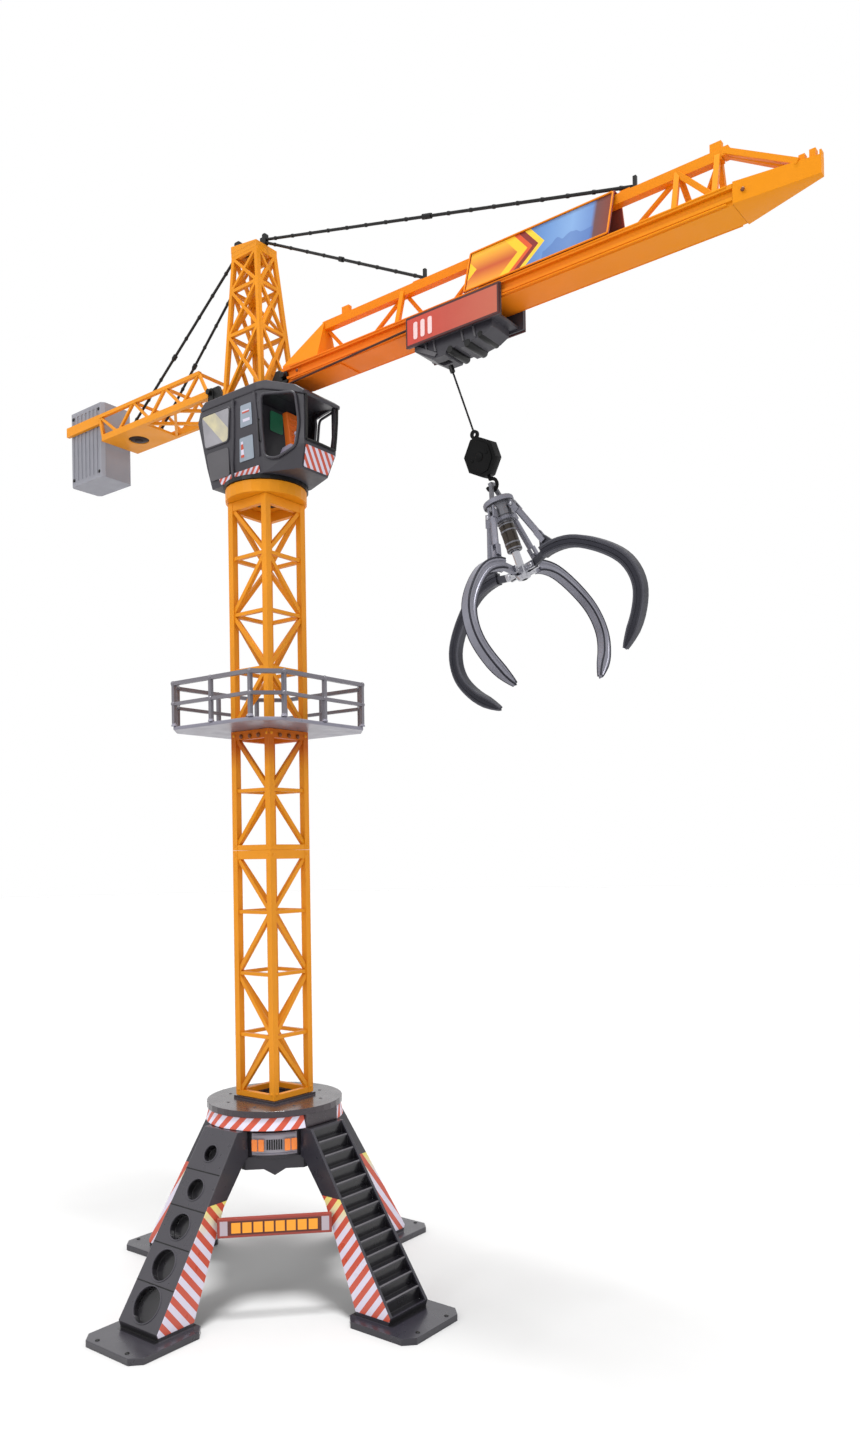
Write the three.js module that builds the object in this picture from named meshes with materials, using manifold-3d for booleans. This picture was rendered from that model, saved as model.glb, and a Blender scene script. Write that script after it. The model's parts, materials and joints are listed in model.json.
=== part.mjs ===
// Toy tower crane with a four-claw grapple. Millimetres, +Z up, floor at Z = 0.
// +X is the direction of the jib, and also of the leg that carries the steps.
import * as THREE from 'three';
import { mergeVertices } from 'three/addons/utils/BufferGeometryUtils.js';
import Module from 'manifold-3d';

const wasm = await Module();
wasm.setup();

// ---------------------------------------------------------------- driving dimensions

const GAP = 0.3;                 // clearance between pieces that touch
const TOTAL_HEIGHT = 1200;       // floor to the top of the clip on the tower head
const JIB_TIP = 632;             // mast axis to the jib's tip
const COUNTER_END = 349;         // mast axis to the counterweight's outer face
const MAST_X = -(JIB_TIP - COUNTER_END) / 2;   // puts the origin under the box's centre

const FOOT_RADIUS = 187;         // mast axis to the centre of a foot pad
const PAD_HALF = 45;
const PAD_THICK = 7;
const PAD_CHOP = 11;
const LEG_HALF = 27;             // half the width of a leg at mid-height
const LEG_WIDE = 1.17;           // how much wider a leg is at its foot
const LEG_TAPER = 0.19;
const LEG_WALL = 3.5;
const LEG_TOP = 190.7;
const LEG_FOOT_R = 195;          // outer face of a leg just above its foot
const LEG_TOP_R = 82;            // outer face of a leg at its top
const STEP_COUNT = 13;
const HUB_R = 66;
const RIM_R = 77;
const CAP_TOP = 212;

const MAST_HALF = 31;            // half the outside width of the mast
const POST = 7.5;
const BRACE = 4.6;
const MAST_BASE = CAP_TOP + 3.5;
const BAND = 10;                 // height of the frames where mast sections meet
const LOWER_TOP = 495;
const MIDDLE_TOP = 631;
const DECK_THICK = 4;
const UPPER_TOP = 893;

const DECK_HALF = 88;            // half the width of the platform
const DECK_CHOP = 25;
const RAIL_R = 2.2;
const RAIL_HEIGHT = 50;

const CROWN_R = 46.5;
const CROWN_TOP = 907;
const RING_TEETH = 24;
const PINION_TEETH = 6;
const RING_PITCH_R = 36;
const PINION_PITCH_R = RING_PITCH_R * PINION_TEETH / RING_TEETH;
const TOOTH = 0.8;               // half the depth of a tooth
const GEAR_SLACK = 0.7;

const CAB_FLOOR = 912;
const CAB_TOP = 1000;
const CAB_WALL = 2.6;
const ROOF_TOP = 1009.7;
const FRAME_TOP = 1013;          // top of the frame that carries head, jib and counter-jib
const HEAD_TOP = 1190;

const JIB_ROOT = 47;
const JIB_SPLIT = 310;
const JIB_END = 565;
const JIB_HALF = 18.2;
const JIB_BOTTOM = 1013;
const LEDGE_TOP = 1029.7;
const CHORD_TOP = 1071.7;
const CHORD_START = 96;
const CHORD_END = 551;
const CHORD_NODES = [96, 208, 310, 410, 511, 547];
const STAY_PEGS = [235, 470];    // where the forestays meet the top chord
const SIGN_START = 296;
const SIGN_END = 453;

const COUNTER_ROOT = 66;
const COUNTER_HALF = 28;
const COUNTER_BOTTOM = 1026;
const COUNTER_TOP = 1062;
const COUNTER_INNER = 272;       // end of the bottom plate, beside the counterweight
const WEIGHT_BOTTOM = 984;
const WEIGHT_TOP = 1081;

const TROLLEY_X = 284;           // middle of the trolley at rest
const TROLLEY_HALF = 56;
const WHEEL_R = 3.2;
const WHEEL_Z = 1022.5;
const SHEAVE_R = 7;

// The load hangs from HANG and is shown swung out, so its axis leans away from straight down.
const HANG = new THREE.Vector3(265, 0, 977.5);
const LOAD_HEADING = THREE.MathUtils.degToRad(28.7);   // plan direction of the lean, from +X to +Y
const LOAD_LEAN = THREE.MathUtils.degToRad(18.1);
// Distances down the load's axis from HANG.
const CORD_START = 9.4;
const CORD_END = 71.5;
const BLOCK_MIDDLE = 101;
const COLLAR_MIDDLE = 157;
const CYLINDER_END = 201;
const HUB_MIDDLE = 222;
const CLAW_TURN = THREE.MathUtils.degToRad(-3.5);   // turn of the grapple about the load's axis
const CLAW_PIVOT_R = 14;
const CLAW_LUG = [34, 205];      // radius and distance of a claw's lug
const STRUT_PIVOT = [15, 158];   // radius and distance of a strut's upper pivot

// ---------------------------------------------------------------- materials

const paint = (color, roughness, metalness = 0) =>
  new THREE.MeshStandardMaterial({ color, roughness, metalness });

const MAST_ORANGE = paint(0xf28c14, 0.45);
const JIB_ORANGE = paint(0xee7410, 0.42);
const CHARCOAL = paint(0x333238, 0.5);
const SILVER_GREY = paint(0x8d8d99, 0.4, 0.3);
const WEIGHT_GREY = paint(0x88888f, 0.55);
const PLATE_RED = paint(0xc4402c, 0.45);
const SIGN_BLUE = paint(0x6f98cf, 0.4);
const BLACK = paint(0x141416, 0.5);
const GUNMETAL = paint(0x6a6a74, 0.3, 0.6);
const STEEL = paint(0xc9c9d2, 0.25, 0.9);
const SEAT_ORANGE = paint(0xd96a1c, 0.5);
const STRIPE_RED = paint(0xd5523a, 0.5);
const CORD_BLACK = paint(0x1b1b1d, 0.9);

// ---------------------------------------------------------------- geometry helpers

function solidOf(geometry) {
  const bare = geometry.clone();
  bare.deleteAttribute('normal');
  bare.deleteAttribute('uv');
  const merged = mergeVertices(bare, 1e-4);
  return new wasm.Manifold(new wasm.Mesh({
    numProp: 3,
    vertProperties: new Float32Array(merged.attributes.position.array),
    triVerts: new Uint32Array(merged.index.array),
  }));
}

function geometryOf(solid) {
  const mesh = solid.getMesh();
  const geometry = new THREE.BufferGeometry();
  geometry.setAttribute('position', new THREE.BufferAttribute(mesh.vertProperties, 3));
  geometry.setIndex(new THREE.BufferAttribute(mesh.triVerts, 1));
  geometry.computeVertexNormals();
  return geometry;
}

function join(pieces) {
  let whole = solidOf(pieces[0]);
  for (const piece of pieces.slice(1)) whole = whole.add(solidOf(piece));
  return geometryOf(whole);
}

function cut(body, tools) {
  let rest = solidOf(body);
  for (const tool of tools) rest = rest.subtract(solidOf(tool));
  return geometryOf(rest);
}

function overlap(a, b) {
  return geometryOf(solidOf(a).intersect(solidOf(b)));
}

// A box given by its lowest and highest corners.
function block(low, high) {
  const size = high.map((value, i) => value - low[i]);
  const middle = high.map((value, i) => (value + low[i]) / 2);
  return new THREE.BoxGeometry(...size).translate(...middle);
}

function outlineShape(points, holes = []) {
  const shape = new THREE.Shape(points.map(([x, y]) => new THREE.Vector2(x, y)));
  for (const hole of holes) {
    shape.holes.push(new THREE.Path(hole.map(([x, y]) => new THREE.Vector2(x, y))));
  }
  return shape;
}

// An outline in X and Y, standing from z0 to z1.
function prism(points, z0, z1, holes = []) {
  const settings = { depth: z1 - z0, bevelEnabled: false, steps: 1 };
  return new THREE.ExtrudeGeometry(outlineShape(points, holes), settings).translate(0, 0, z0);
}

// An outline in X and Z, reaching from y0 to y1.
function plate(points, y0, y1, holes = []) {
  return prism(points, 0, y1 - y0, holes).rotateX(Math.PI / 2).translate(0, y1, 0);
}

// An outline in Y and Z, reaching from x0 to x1.
function section(points, x0, x1, holes = []) {
  return prism(points, 0, x1 - x0, holes).rotateX(Math.PI / 2).rotateZ(Math.PI / 2).translate(x0, 0, 0);
}

function circle(radius, sides, x = 0, y = 0) {
  return Array.from({ length: sides }, (_, i) => {
    const angle = (i / sides) * 2 * Math.PI;
    return [x + radius * Math.cos(angle), y + radius * Math.sin(angle)];
  });
}

function disc(radius, z0, z1, sides = 32) {
  return prism(circle(radius, sides), z0, z1);
}

function tube(outer, inner, z0, z1, sides = 32) {
  return prism(circle(outer, sides), z0, z1, [circle(inner, sides)]);
}

// Turns something built along +Z from the origin so that it runs from one point to another.
function aim(geometry, from, to) {
  const a = new THREE.Vector3(...from);
  const along = new THREE.Vector3(...to).sub(a).normalize();
  const upright = Math.abs(along.z) > 0.999;
  const side = new THREE.Vector3(upright ? 1 : along.y, upright ? 0 : -along.x, 0).normalize();
  const face = new THREE.Vector3().crossVectors(along, side);
  return geometry.applyMatrix4(new THREE.Matrix4().makeBasis(side, face, along).setPosition(a));
}

function distance(from, to) {
  return new THREE.Vector3(...from).distanceTo(new THREE.Vector3(...to));
}

// A rectangular bar: width is measured level, depth across it.
function bar(from, to, width, depth) {
  const length = distance(from, to);
  return aim(new THREE.BoxGeometry(width, depth, length).translate(0, 0, length / 2), from, to);
}

function rod(from, to, radius, sides = 8) {
  return aim(disc(radius, 0, distance(from, to), sides), from, to);
}

// A closed skin through rings of points that all run anticlockwise seen from the last ring's side.
function loft(rings) {
  const count = rings[0].length;
  const faces = [];
  for (let k = 0; k + 1 < rings.length; k += 1) {
    for (let i = 0; i < count; i += 1) {
      const a = k * count + i;
      const b = k * count + ((i + 1) % count);
      faces.push(a, b, b + count, a, b + count, a + count);
    }
  }
  const last = (rings.length - 1) * count;
  for (let i = 1; i + 1 < count; i += 1) {
    faces.push(0, i + 1, i, last, last + i, last + i + 1);
  }
  const geometry = new THREE.BufferGeometry();
  geometry.setAttribute('position', new THREE.Float32BufferAttribute(rings.flat(2), 3));
  geometry.setIndex(faces);
  return geometry;
}

// A square with its corners cut off.
function choppedSquare(half, chop, x = 0) {
  return [
    [x - half + chop, -half], [x + half - chop, -half], [x + half, -half + chop], [x + half, half - chop],
    [x + half - chop, half], [x - half + chop, half], [x - half, half - chop], [x - half, -half + chop],
  ];
}

function squareAt(half) {
  return [[-half, -half], [half, -half], [half, half], [-half, half]];
}

// ---------------------------------------------------------------- scene graph

const crane = new THREE.Group();
crane.position.x = MAST_X;

function put(name, geometry, material, parent = crane) {
  const mesh = new THREE.Mesh(geometry, material);
  mesh.name = name;
  parent.add(mesh);
  return mesh;
}

// ---------------------------------------------------------------- base

const slopeAt = (z) => LEG_FOOT_R + ((LEG_TOP_R - LEG_FOOT_R) * (z - 15)) / (LEG_TOP - 15);

// Side outline of a leg in radius and height, from the foot pad to the hub.
const LEG_OUTLINE = [
  [150, PAD_THICK - 1], [LEG_FOOT_R - 3, PAD_THICK - 1], [LEG_FOOT_R, 15], [LEG_TOP_R, LEG_TOP],
  [HUB_R + 1, LEG_TOP], [HUB_R + 1, 160], [72, 158], [104, 116],
];

// Channel on a leg's inner side, open towards the middle of the crane.
const LEG_CHANNEL = [
  [140, PAD_THICK + 4], [LEG_FOOT_R - 16, PAD_THICK + 4], [LEG_FOOT_R - 14, 15], [LEG_TOP_R + 10, 148],
  [60, 148], [60, 130], [80, 116], [100, 60],
];

function footPad() {
  return prism(choppedSquare(PAD_HALF, PAD_CHOP, FOOT_RADIUS), 0, PAD_THICK);
}

// Widens a leg towards its foot.
function flare(geometry) {
  const position = geometry.attributes.position;
  for (let i = 0; i < position.count; i += 1) {
    const scale = LEG_WIDE - (LEG_TAPER * position.getZ(i)) / LEG_TOP;
    position.setY(i, position.getY(i) * scale);
  }
  return geometry;
}

function channelledLeg() {
  const body = flare(plate(LEG_OUTLINE, -LEG_HALF, LEG_HALF));
  return cut(body, [flare(plate(LEG_CHANNEL, -LEG_HALF + LEG_WALL, LEG_HALF - LEG_WALL))]);
}

// Five blind round holes down the outer face, each larger than the one above it.
function holedLeg() {
  const tilt = Math.atan2(LEG_FOOT_R - LEG_TOP_R, LEG_TOP - 15);
  const drills = [0, 1, 2, 3, 4].map((i) => {
    const z = 168 - 33.5 * i;
    const drill = disc(9.5 + 2.3 * i, -8, 14, 16);
    return drill.rotateY(Math.PI / 2 - tilt).translate(slopeAt(z), 0, z);
  });
  return join([cut(channelledLeg(), drills), footPad()]);
}

// A flight of steps between two side walls.
function steppedLeg() {
  const rise = (LEG_TOP - 15) / STEP_COUNT;
  const steps = [];
  for (let i = 0; i < STEP_COUNT; i += 1) {
    const z = 15 + rise * i;
    const nose = slopeAt(z + rise) - 0.6;
    steps.push([nose, z], [nose, z + rise * (i === STEP_COUNT - 1 ? 1.1 : 1)]);
  }
  const well = [...steps, [LEG_TOP_R + 60, LEG_TOP + 2], [LEG_FOOT_R + 60, 15]];
  const trimmed = cut(channelledLeg(), [flare(plate(well, -LEG_HALF + LEG_WALL, LEG_HALF - LEG_WALL))]);
  return join([trimmed, footPad()]);
}

function baseHub() {
  const drum = tube(HUB_R, HUB_R - 5, 158, LEG_TOP);
  const lid = disc(HUB_R, LEG_TOP - 4, LEG_TOP);
  const skirtOutline = [[-36, 160], [-36, 146], [-12, 146], [0, 139], [12, 146], [36, 146], [36, 160]];
  const skirts = [45, 135, 225, 315].map((degrees) => {
    const skirt = plate(skirtOutline, -2.5, 2.5).rotateZ(-Math.PI / 2).translate(60, 0, 0);
    return skirt.rotateZ(THREE.MathUtils.degToRad(degrees));
  });
  const clearLegs = [0, 1, 2, 3].map((k) =>
    block([HUB_R + 0.7, -LEG_HALF - 1, 130], [110, LEG_HALF + 1, 165]).rotateZ((k * Math.PI) / 2));
  return cut(join([drum, lid, ...skirts]), clearLegs);
}

const stepNotch = block([RIM_R - 22, -LEG_HALF + 2, LEG_TOP], [RIM_R + 10, LEG_HALF - 2, 206]);

function baseRim() {
  const band = new THREE.LatheGeometry([
    new THREE.Vector2(RIM_R - 6, LEG_TOP + GAP), new THREE.Vector2(RIM_R + 1, LEG_TOP + GAP),
    new THREE.Vector2(RIM_R - 2, 204.7), new THREE.Vector2(RIM_R - 6, 204.7),
    new THREE.Vector2(RIM_R - 6, LEG_TOP + GAP),
  ], 40).rotateX(Math.PI / 2);
  return cut(band, [stepNotch]);
}

// Cap disc with a round well under the mast and a low square socket round it.
function baseCap() {
  const stepBlock = block([RIM_R - 21, -LEG_HALF + 2.5, LEG_TOP + GAP], [RIM_R - 3, LEG_HALF - 2.5, 206]);
  const socket = prism(squareAt(MAST_HALF + 2), CAP_TOP - 1, CAP_TOP + 3, [squareAt(MAST_HALF - 8)]);
  return cut(join([disc(RIM_R, 205, CAP_TOP, 40), stepBlock, socket]), [disc(24, 207.5, 230, 24)]);
}

// Curved panel between the two front legs, with two raised lamps.
function lampPanel() {
  const arc = (radius, half) => Array.from({ length: 9 }, (_, i) => {
    const angle = half * (i / 4 - 1);
    return [radius * Math.cos(angle), radius * Math.sin(angle)];
  });
  const inner = HUB_R + GAP;
  const panel = prism([...arc(inner + 4, 0.355), ...arc(inner, 0.355).reverse()], 163, 187);
  const lamps = [-1, 1].map((side) =>
    block([inner + 2, -5.5, 169], [inner + 6.5, 5.5, 180]).rotateZ(side * 0.25));
  return join([panel, ...lamps]).rotateZ(-Math.PI / 4);
}

// Bar across the gap between the two front legs.
const signBar = block([101.7, -59.8, 89], [107.7, 59.8, 109]).rotateZ(-Math.PI / 4);

put('base_cap', baseCap(), CHARCOAL);
put('base_rim', baseRim(), STRIPE_RED);
put('base_hub', baseHub(), CHARCOAL);
put('lamp_panel', lampPanel(), CHARCOAL);
put('sign_bar', signBar, STRIPE_RED);
put('leg_with_steps', steppedLeg(), CHARCOAL);
put('leg_rear_right', holedLeg(), CHARCOAL).rotation.z = Math.PI / 2;
put('leg_rear_left', holedLeg(), CHARCOAL).rotation.z = Math.PI;
put('leg_front_left', holedLeg(), CHARCOAL).rotation.z = -Math.PI / 2;

// ---------------------------------------------------------------- mast

const CORNERS = [[1, -1], [1, 1], [-1, 1], [-1, -1]];

function mastSection(bottom, top, bays) {
  const reach = MAST_HALF - POST / 2;
  const bay = (top - bottom) / bays;
  const corner = (i, z) => [CORNERS[i % 4][0] * reach, CORNERS[i % 4][1] * reach, z];
  const frame = (z0, z1) => prism(squareAt(MAST_HALF - 0.4), z0, z1, [squareAt(MAST_HALF - 6.5)]);
  const pieces = [frame(bottom, bottom + BAND * 0.6), frame(top - BAND, top)];
  for (let i = 0; i < 4; i += 1) {
    pieces.push(bar(corner(i, bottom), corner(i, top), POST, POST));
    for (let k = 0; k < bays; k += 1) {
      const rising = (k + i) % 2 === 1 ? [i, i + 1] : [i + 1, i];
      const z0 = bottom + bay * k + (k === 0 ? 3 : 0);
      const z1 = bottom + bay * (k + 1) - (k === bays - 1 ? BAND / 2 : 0);
      pieces.push(bar(corner(rising[0], z0), corner(rising[1], z1), BRACE, BRACE));
      if (k > 0) pieces.push(bar(corner(i, z0), corner(i + 1, z0), BRACE, BRACE - 0.6));
    }
  }
  return join(pieces);
}

put('mast_lower', mastSection(MAST_BASE, LOWER_TOP, 4), MAST_ORANGE);
put('mast_middle', mastSection(LOWER_TOP + GAP, MIDDLE_TOP, 2), MAST_ORANGE);
put('mast_upper', mastSection(MIDDLE_TOP + DECK_THICK + 2 * GAP, UPPER_TOP, 4), MAST_ORANGE);

// ---------------------------------------------------------------- platform

const DECK_Z = MIDDLE_TOP + GAP;
const deck = prism(choppedSquare(DECK_HALF, DECK_CHOP), DECK_Z, DECK_Z + DECK_THICK, [squareAt(23)]);
put('platform_deck', deck, SILVER_GREY);

// Two rails on posts that stand at the corners and halfway along each long side.
function railing() {
  const foot = DECK_Z + DECK_THICK + GAP;
  const half = DECK_HALF - 1;
  const top = foot + RAIL_HEIGHT;
  const rail = (z, r) =>
    prism(choppedSquare(half + r, DECK_CHOP), z - r, z + r, [choppedSquare(half - r, DECK_CHOP)]);
  const pieces = [rail(top - RAIL_R, RAIL_R), rail(foot + RAIL_HEIGHT / 2, RAIL_R * 0.85)];
  const corners = choppedSquare(half, DECK_CHOP);
  corners.forEach(([x, y], i) => {
    const r = RAIL_R * 0.92;
    pieces.push(block([x - r, y - r, foot], [x + r, y + r, top - RAIL_R]));
    if (i % 2 === 1) return;
    const [nextX, nextY] = corners[i + 1];
    const [middleX, middleY] = [(x + nextX) / 2, (y + nextY) / 2];
    pieces.push(block([middleX - r, middleY - r, foot], [middleX + r, middleY + r, top - RAIL_R]));
  });
  return join(pieces);
}

put('platform_railing', railing(), SILVER_GREY);

// ---------------------------------------------------------------- crown and slewing gear

function crownRing() {
  const wall = tube(CROWN_R, CROWN_R - 3.5, UPPER_TOP + GAP, CROWN_TOP, 28);
  const floor = tube(CROWN_R - 1, 15, UPPER_TOP + GAP, UPPER_TOP + 4, 28);
  return join([wall, floor]);
}

function waveGear(teeth, pitchRadius, depth, offset) {
  const steps = teeth * 6;
  return Array.from({ length: steps }, (_, i) => {
    const angle = (i / steps) * 2 * Math.PI;
    const radius = pitchRadius + offset + depth * Math.cos(teeth * angle);
    return [radius * Math.cos(angle), radius * Math.sin(angle)];
  });
}

const GEAR_LOW = UPPER_TOP + 4 + GAP;
const ringGear = prism(circle(CROWN_R - 4, 28), GEAR_LOW, CROWN_TOP - 2,
  [waveGear(RING_TEETH, RING_PITCH_R, TOOTH, GEAR_SLACK)]);
put('crown_ring', crownRing(), MAST_ORANGE);
put('slew_ring_gear', ringGear, SILVER_GREY);

const upper = new THREE.Group();
crane.add(upper);

const PINION_X = RING_PITCH_R - PINION_PITCH_R;
const TURNTABLE_LOW = CROWN_TOP + GAP;
const TURNTABLE_TOP = CAB_FLOOR - GAP;
const pinionWheel = prism(waveGear(PINION_TEETH, PINION_PITCH_R, TOOTH, 0), GEAR_LOW + 1, CROWN_TOP - 2.5);
const pinion = join([pinionWheel, disc(2, CROWN_TOP - 4, TURNTABLE_TOP + 10, 12)]);
put('slew_pinion', pinion, SILVER_GREY, upper).position.x = -PINION_X;

function turntable() {
  const ring = disc(CROWN_R + 2, TURNTABLE_LOW, TURNTABLE_TOP, 28);
  const journal = disc(14.4, UPPER_TOP + 1, TURNTABLE_LOW + 1, 16);
  return cut(join([ring, journal]), [disc(3, 880, 930, 12).translate(-PINION_X, 0, 0)]);
}

put('turntable', turntable(), BLACK, upper);

// ---------------------------------------------------------------- cab

// One level of the cab: parallel sides, then tapering to a narrower front.
function cabRing(z, rear, side, corner, front, frontHalf) {
  const half = [[rear, side], [corner, side], [front, frontHalf]];
  const left = half.map(([x, y]) => [x, -y, z]);
  const right = half.map(([x, y]) => [x, y, z]).reverse();
  return [...left, ...right];
}

function cabBody(inset, low) {
  const t = inset;
  return loft([
    cabRing(low, -50 + t, 37 - t, 36 - t / 3, 77 - t, 21 - t),
    cabRing(936, -54 + t, 41 - t, 36 - t / 3, 86 - t, 25 - t),
    cabRing(988, -62 + t, 46.5 - t, 34 - t / 3, 88 - t, 27 - t),
    cabRing(1006, -57 + t, 45 - t, 34 - t / 3, 88 - t, 27 - t),
  ]);
}

// Space above the sloping edge that the roof sits on.
const ABOVE_ROOF_LINE = [[-90, CAB_TOP], [42, CAB_TOP], [89, 987.5], [120, 979], [120, 1040], [-90, 1040]];

function cabHousing() {
  const shell = cut(cabBody(0, CAB_FLOOR), [cabBody(CAB_WALL, CAB_FLOOR + CAB_WALL)]);
  const partition = block([14, -40, CAB_FLOOR + 1], [16.5, 40, CAB_TOP - 1]);
  const inside = overlap(partition, cabBody(CAB_WALL / 2, CAB_FLOOR + 1));
  const doorOutline = [[6, 927], [20, 924], [44, 934], [49, 958], [46, 991], [5, 994], [4, 960]];
  const heading = Math.atan2(19, 53);
  const doors = [-1, 1].map((side) =>
    plate(doorOutline, -9, 9).rotateZ(-side * heading).translate(35, side * 43, 0));
  const windscreen = block([76, -22.5, 942], [100, 22.5, 1010]);
  const shaftHole = disc(3.2, 900, 930, 12).translate(-PINION_X, 0, 0);
  const tools = [plate(ABOVE_ROOF_LINE, -60, 60), ...doors, windscreen, shaftHole];
  return cut(join([shell, inside]), tools);
}

function cabRoof() {
  const side = [
    [-58, CAB_TOP + GAP], [42, CAB_TOP + GAP], [89.5, 987.7], [90.5, 991.5], [80, 999], [46, ROOF_TOP],
    [-50, ROOF_TOP], [-58, 1004],
  ];
  const plan = cabRing(960, -59, 46.5, 35, 91, 29).map(([x, y]) => [x, y]);
  return overlap(plate(side, -60, 60), prism(plan, 960, 1030));
}

// Seat with a backrest, standing on the cab's floor.
function seat() {
  const floor = CAB_FLOOR + CAB_WALL + GAP;
  const outline = [
    [40, floor], [58, floor], [58, floor + 25], [70, floor + 27], [69, floor + 35], [53, floor + 34],
    [47, floor + 70], [39, floor + 70], [44, floor + 28], [40, floor + 24],
  ];
  return plate(outline, -12, 12);
}

put('cab_housing', cabHousing(), CHARCOAL, upper);
put('cab_roof', cabRoof(), CHARCOAL, upper);
put('cab_seat', seat(), SEAT_ORANGE, upper);

// Motor above the pinion, bored for its shaft, and the winch drum beside it.
const motorLow = CAB_FLOOR + CAB_WALL + GAP;
const motor = cut(disc(11, motorLow, motorLow + 34, 20), [disc(2.5, motorLow - 1, motorLow + 12, 12)]);
put('slew_motor', motor, SILVER_GREY, upper).position.x = -PINION_X;

const DRUM_X = -4;
const DRUM_Z = 962;
const drumProfile = [[0, -20], [11, -20], [11, -18], [7, -18], [7, 18], [11, 18], [11, 20], [0, 20]];
const drum = new THREE.LatheGeometry(drumProfile.map(([r, h]) => new THREE.Vector2(r, h)), 20);
put('winch_drum', drum, BLACK, upper).position.set(DRUM_X, 0, DRUM_Z);

// ---------------------------------------------------------------- frame on the roof and tower head

const HEAD_BASE = { rear: -41, front: 24, side: 28 };
const HEAD_CAP = { rear: -35, front: 6, side: 15.5 };

// Plate on the roof with two ears for the jib and two for the counter-jib.
function topFrame() {
  const plateLow = ROOF_TOP + GAP;
  const pieces = [block([-56, -31, plateLow], [43, 31, FRAME_TOP])];
  for (const side of [-1, 1]) {
    const jibEar = [[28, plateLow], [46.5, plateLow], [46.5, 1024], [40, 1031], [34, 1031], [28, 1022]];
    const counterEar = [
      [-65.5, 1016], [-52, plateLow], [-44, plateLow], [-44, 1024], [-50, 1036], [-65.5, 1036],
    ];
    const y = side * 14;
    pieces.push(plate(jibEar, y - 2, y + 2), plate(counterEar, side * 24 - 2, side * 24 + 2));
  }
  return join(pieces);
}

// One face of the head in its own plane: a tapering plate with three bays of crossed braces cut out.
function latticeFace(footHalf, topHalf, height, thickness) {
  const levels = [0.02, 0.43, 0.73, 0.95];
  const halfAt = (t) => footHalf + (topHalf - footHalf) * t;
  const holes = [];
  for (let k = 0; k < 3; k += 1) {
    const [z0, z1] = [levels[k] * height + 2, levels[k + 1] * height - 2];
    const [w0, w1] = [halfAt(levels[k]) - 4.5, halfAt(levels[k + 1]) - 4.5];
    const middle = z0 + ((z1 - z0) * w0) / (w0 + w1);
    const gap = 2.4;
    holes.push([[-w0 + gap, z0], [w0 - gap, z0], [0, middle - gap]]);
    holes.push([[0, middle + gap], [w1 - gap, z1], [-w1 + gap, z1]]);
    for (const side of [-1, 1]) {
      holes.push([[side * w0, z0 + gap], [side * w1, z1 - gap], [side * gap, middle]]);
    }
  }
  const outline = [[-footHalf, 0], [footHalf, 0], [topHalf, height], [-topHalf, height]];
  return plate(outline, -thickness / 2, thickness / 2, holes);
}

function towerHead() {
  const low = FRAME_TOP + GAP;
  const height = HEAD_TOP - low;
  const { rear, front, side } = HEAD_BASE;
  const cap = HEAD_CAP;
  const sideTilt = Math.atan2(side - cap.side, height);
  const frontTilt = Math.atan2(front - cap.front, height);
  const rearTilt = Math.atan2(cap.rear - rear, height);
  const thick = 4;
  const pieces = [];
  const mid = (front + rear) / 2;
  const shear = ((cap.front + cap.rear) / 2 - mid) / height;
  for (const hand of [-1, 1]) {
    const face = latticeFace((front - rear) / 2, (cap.front - cap.rear) / 2, height, thick);
    const skew = new THREE.Matrix4().makeShear(0, 0, 0, 0, shear, -hand * Math.tan(sideTilt));
    pieces.push(face.applyMatrix4(skew).translate(mid, hand * (side - thick / 2), low));
  }
  for (const [x, tilt, hand] of [[front, frontTilt, 1], [rear, rearTilt, -1]]) {
    const face = latticeFace(side - 1, cap.side - 1, height, thick).rotateZ(Math.PI / 2);
    const skew = new THREE.Matrix4().makeShear(0, 0, 0, 0, -hand * Math.tan(tilt), 0);
    pieces.push(face.applyMatrix4(skew).translate(x - (hand * thick) / 2, 0, low));
  }
  const rim = (margin) => {
    const [x0, x1, y1] = [cap.rear - 0.5 + margin, cap.front + 0.5 - margin, cap.side + 0.6 - margin];
    return [[x0, -y1], [x1, -y1], [x1, y1], [x0, y1]];
  };
  pieces.push(prism(rim(0), HEAD_TOP - 7, HEAD_TOP, [rim(5.5)]));
  return join(pieces);
}

// Black clip bar along the head's top; the stays hook on its two upright horns.
function headClip() {
  const low = HEAD_TOP + GAP;
  const spine = block([HEAD_CAP.rear + 3, -3, low], [HEAD_CAP.front - 1, 3, low + 4]);
  const horns = [[-31, -24], [-2, 4.5]].map(([x0, x1]) => block([x0, -2.5, low + 2], [x1, 2.5, TOTAL_HEIGHT]));
  return join([spine, ...horns]);
}

put('top_frame', topFrame(), BLACK, upper);
put('tower_head', towerHead(), MAST_ORANGE, upper);
put('head_clip', headClip(), BLACK, upper);

// ---------------------------------------------------------------- jib

// Cross-section of the jib's base: a bottom plate, and above it two sides grooved for the wheels.
const JIB_SECTION = [
  [-16, JIB_BOTTOM], [16, JIB_BOTTOM], [16, 1016.2], [JIB_HALF, 1016.2], [JIB_HALF, 1019], [14.6, 1019],
  [14.6, 1026], [JIB_HALF, 1026], [JIB_HALF, LEDGE_TOP], [-JIB_HALF, LEDGE_TOP], [-JIB_HALF, 1026],
  [-14.6, 1026], [-14.6, 1019], [-JIB_HALF, 1019], [-JIB_HALF, 1016.2], [-16, 1016.2],
];
const CHORD_AXIS = CHORD_TOP - 4.5;
const LEAN_TOP = 2.2;
const LEAN_FOOT = JIB_HALF - 3.4;

const chordBar = (x0, x1) => block([x0, -4, CHORD_TOP - 9], [x1, 4, CHORD_TOP]);
const trussBar = (side, xTop, xFoot, size) =>
  bar([xTop, side * LEAN_TOP, CHORD_AXIS], [xFoot, side * LEAN_FOOT, LEDGE_TOP - 1], size, size);

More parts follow.
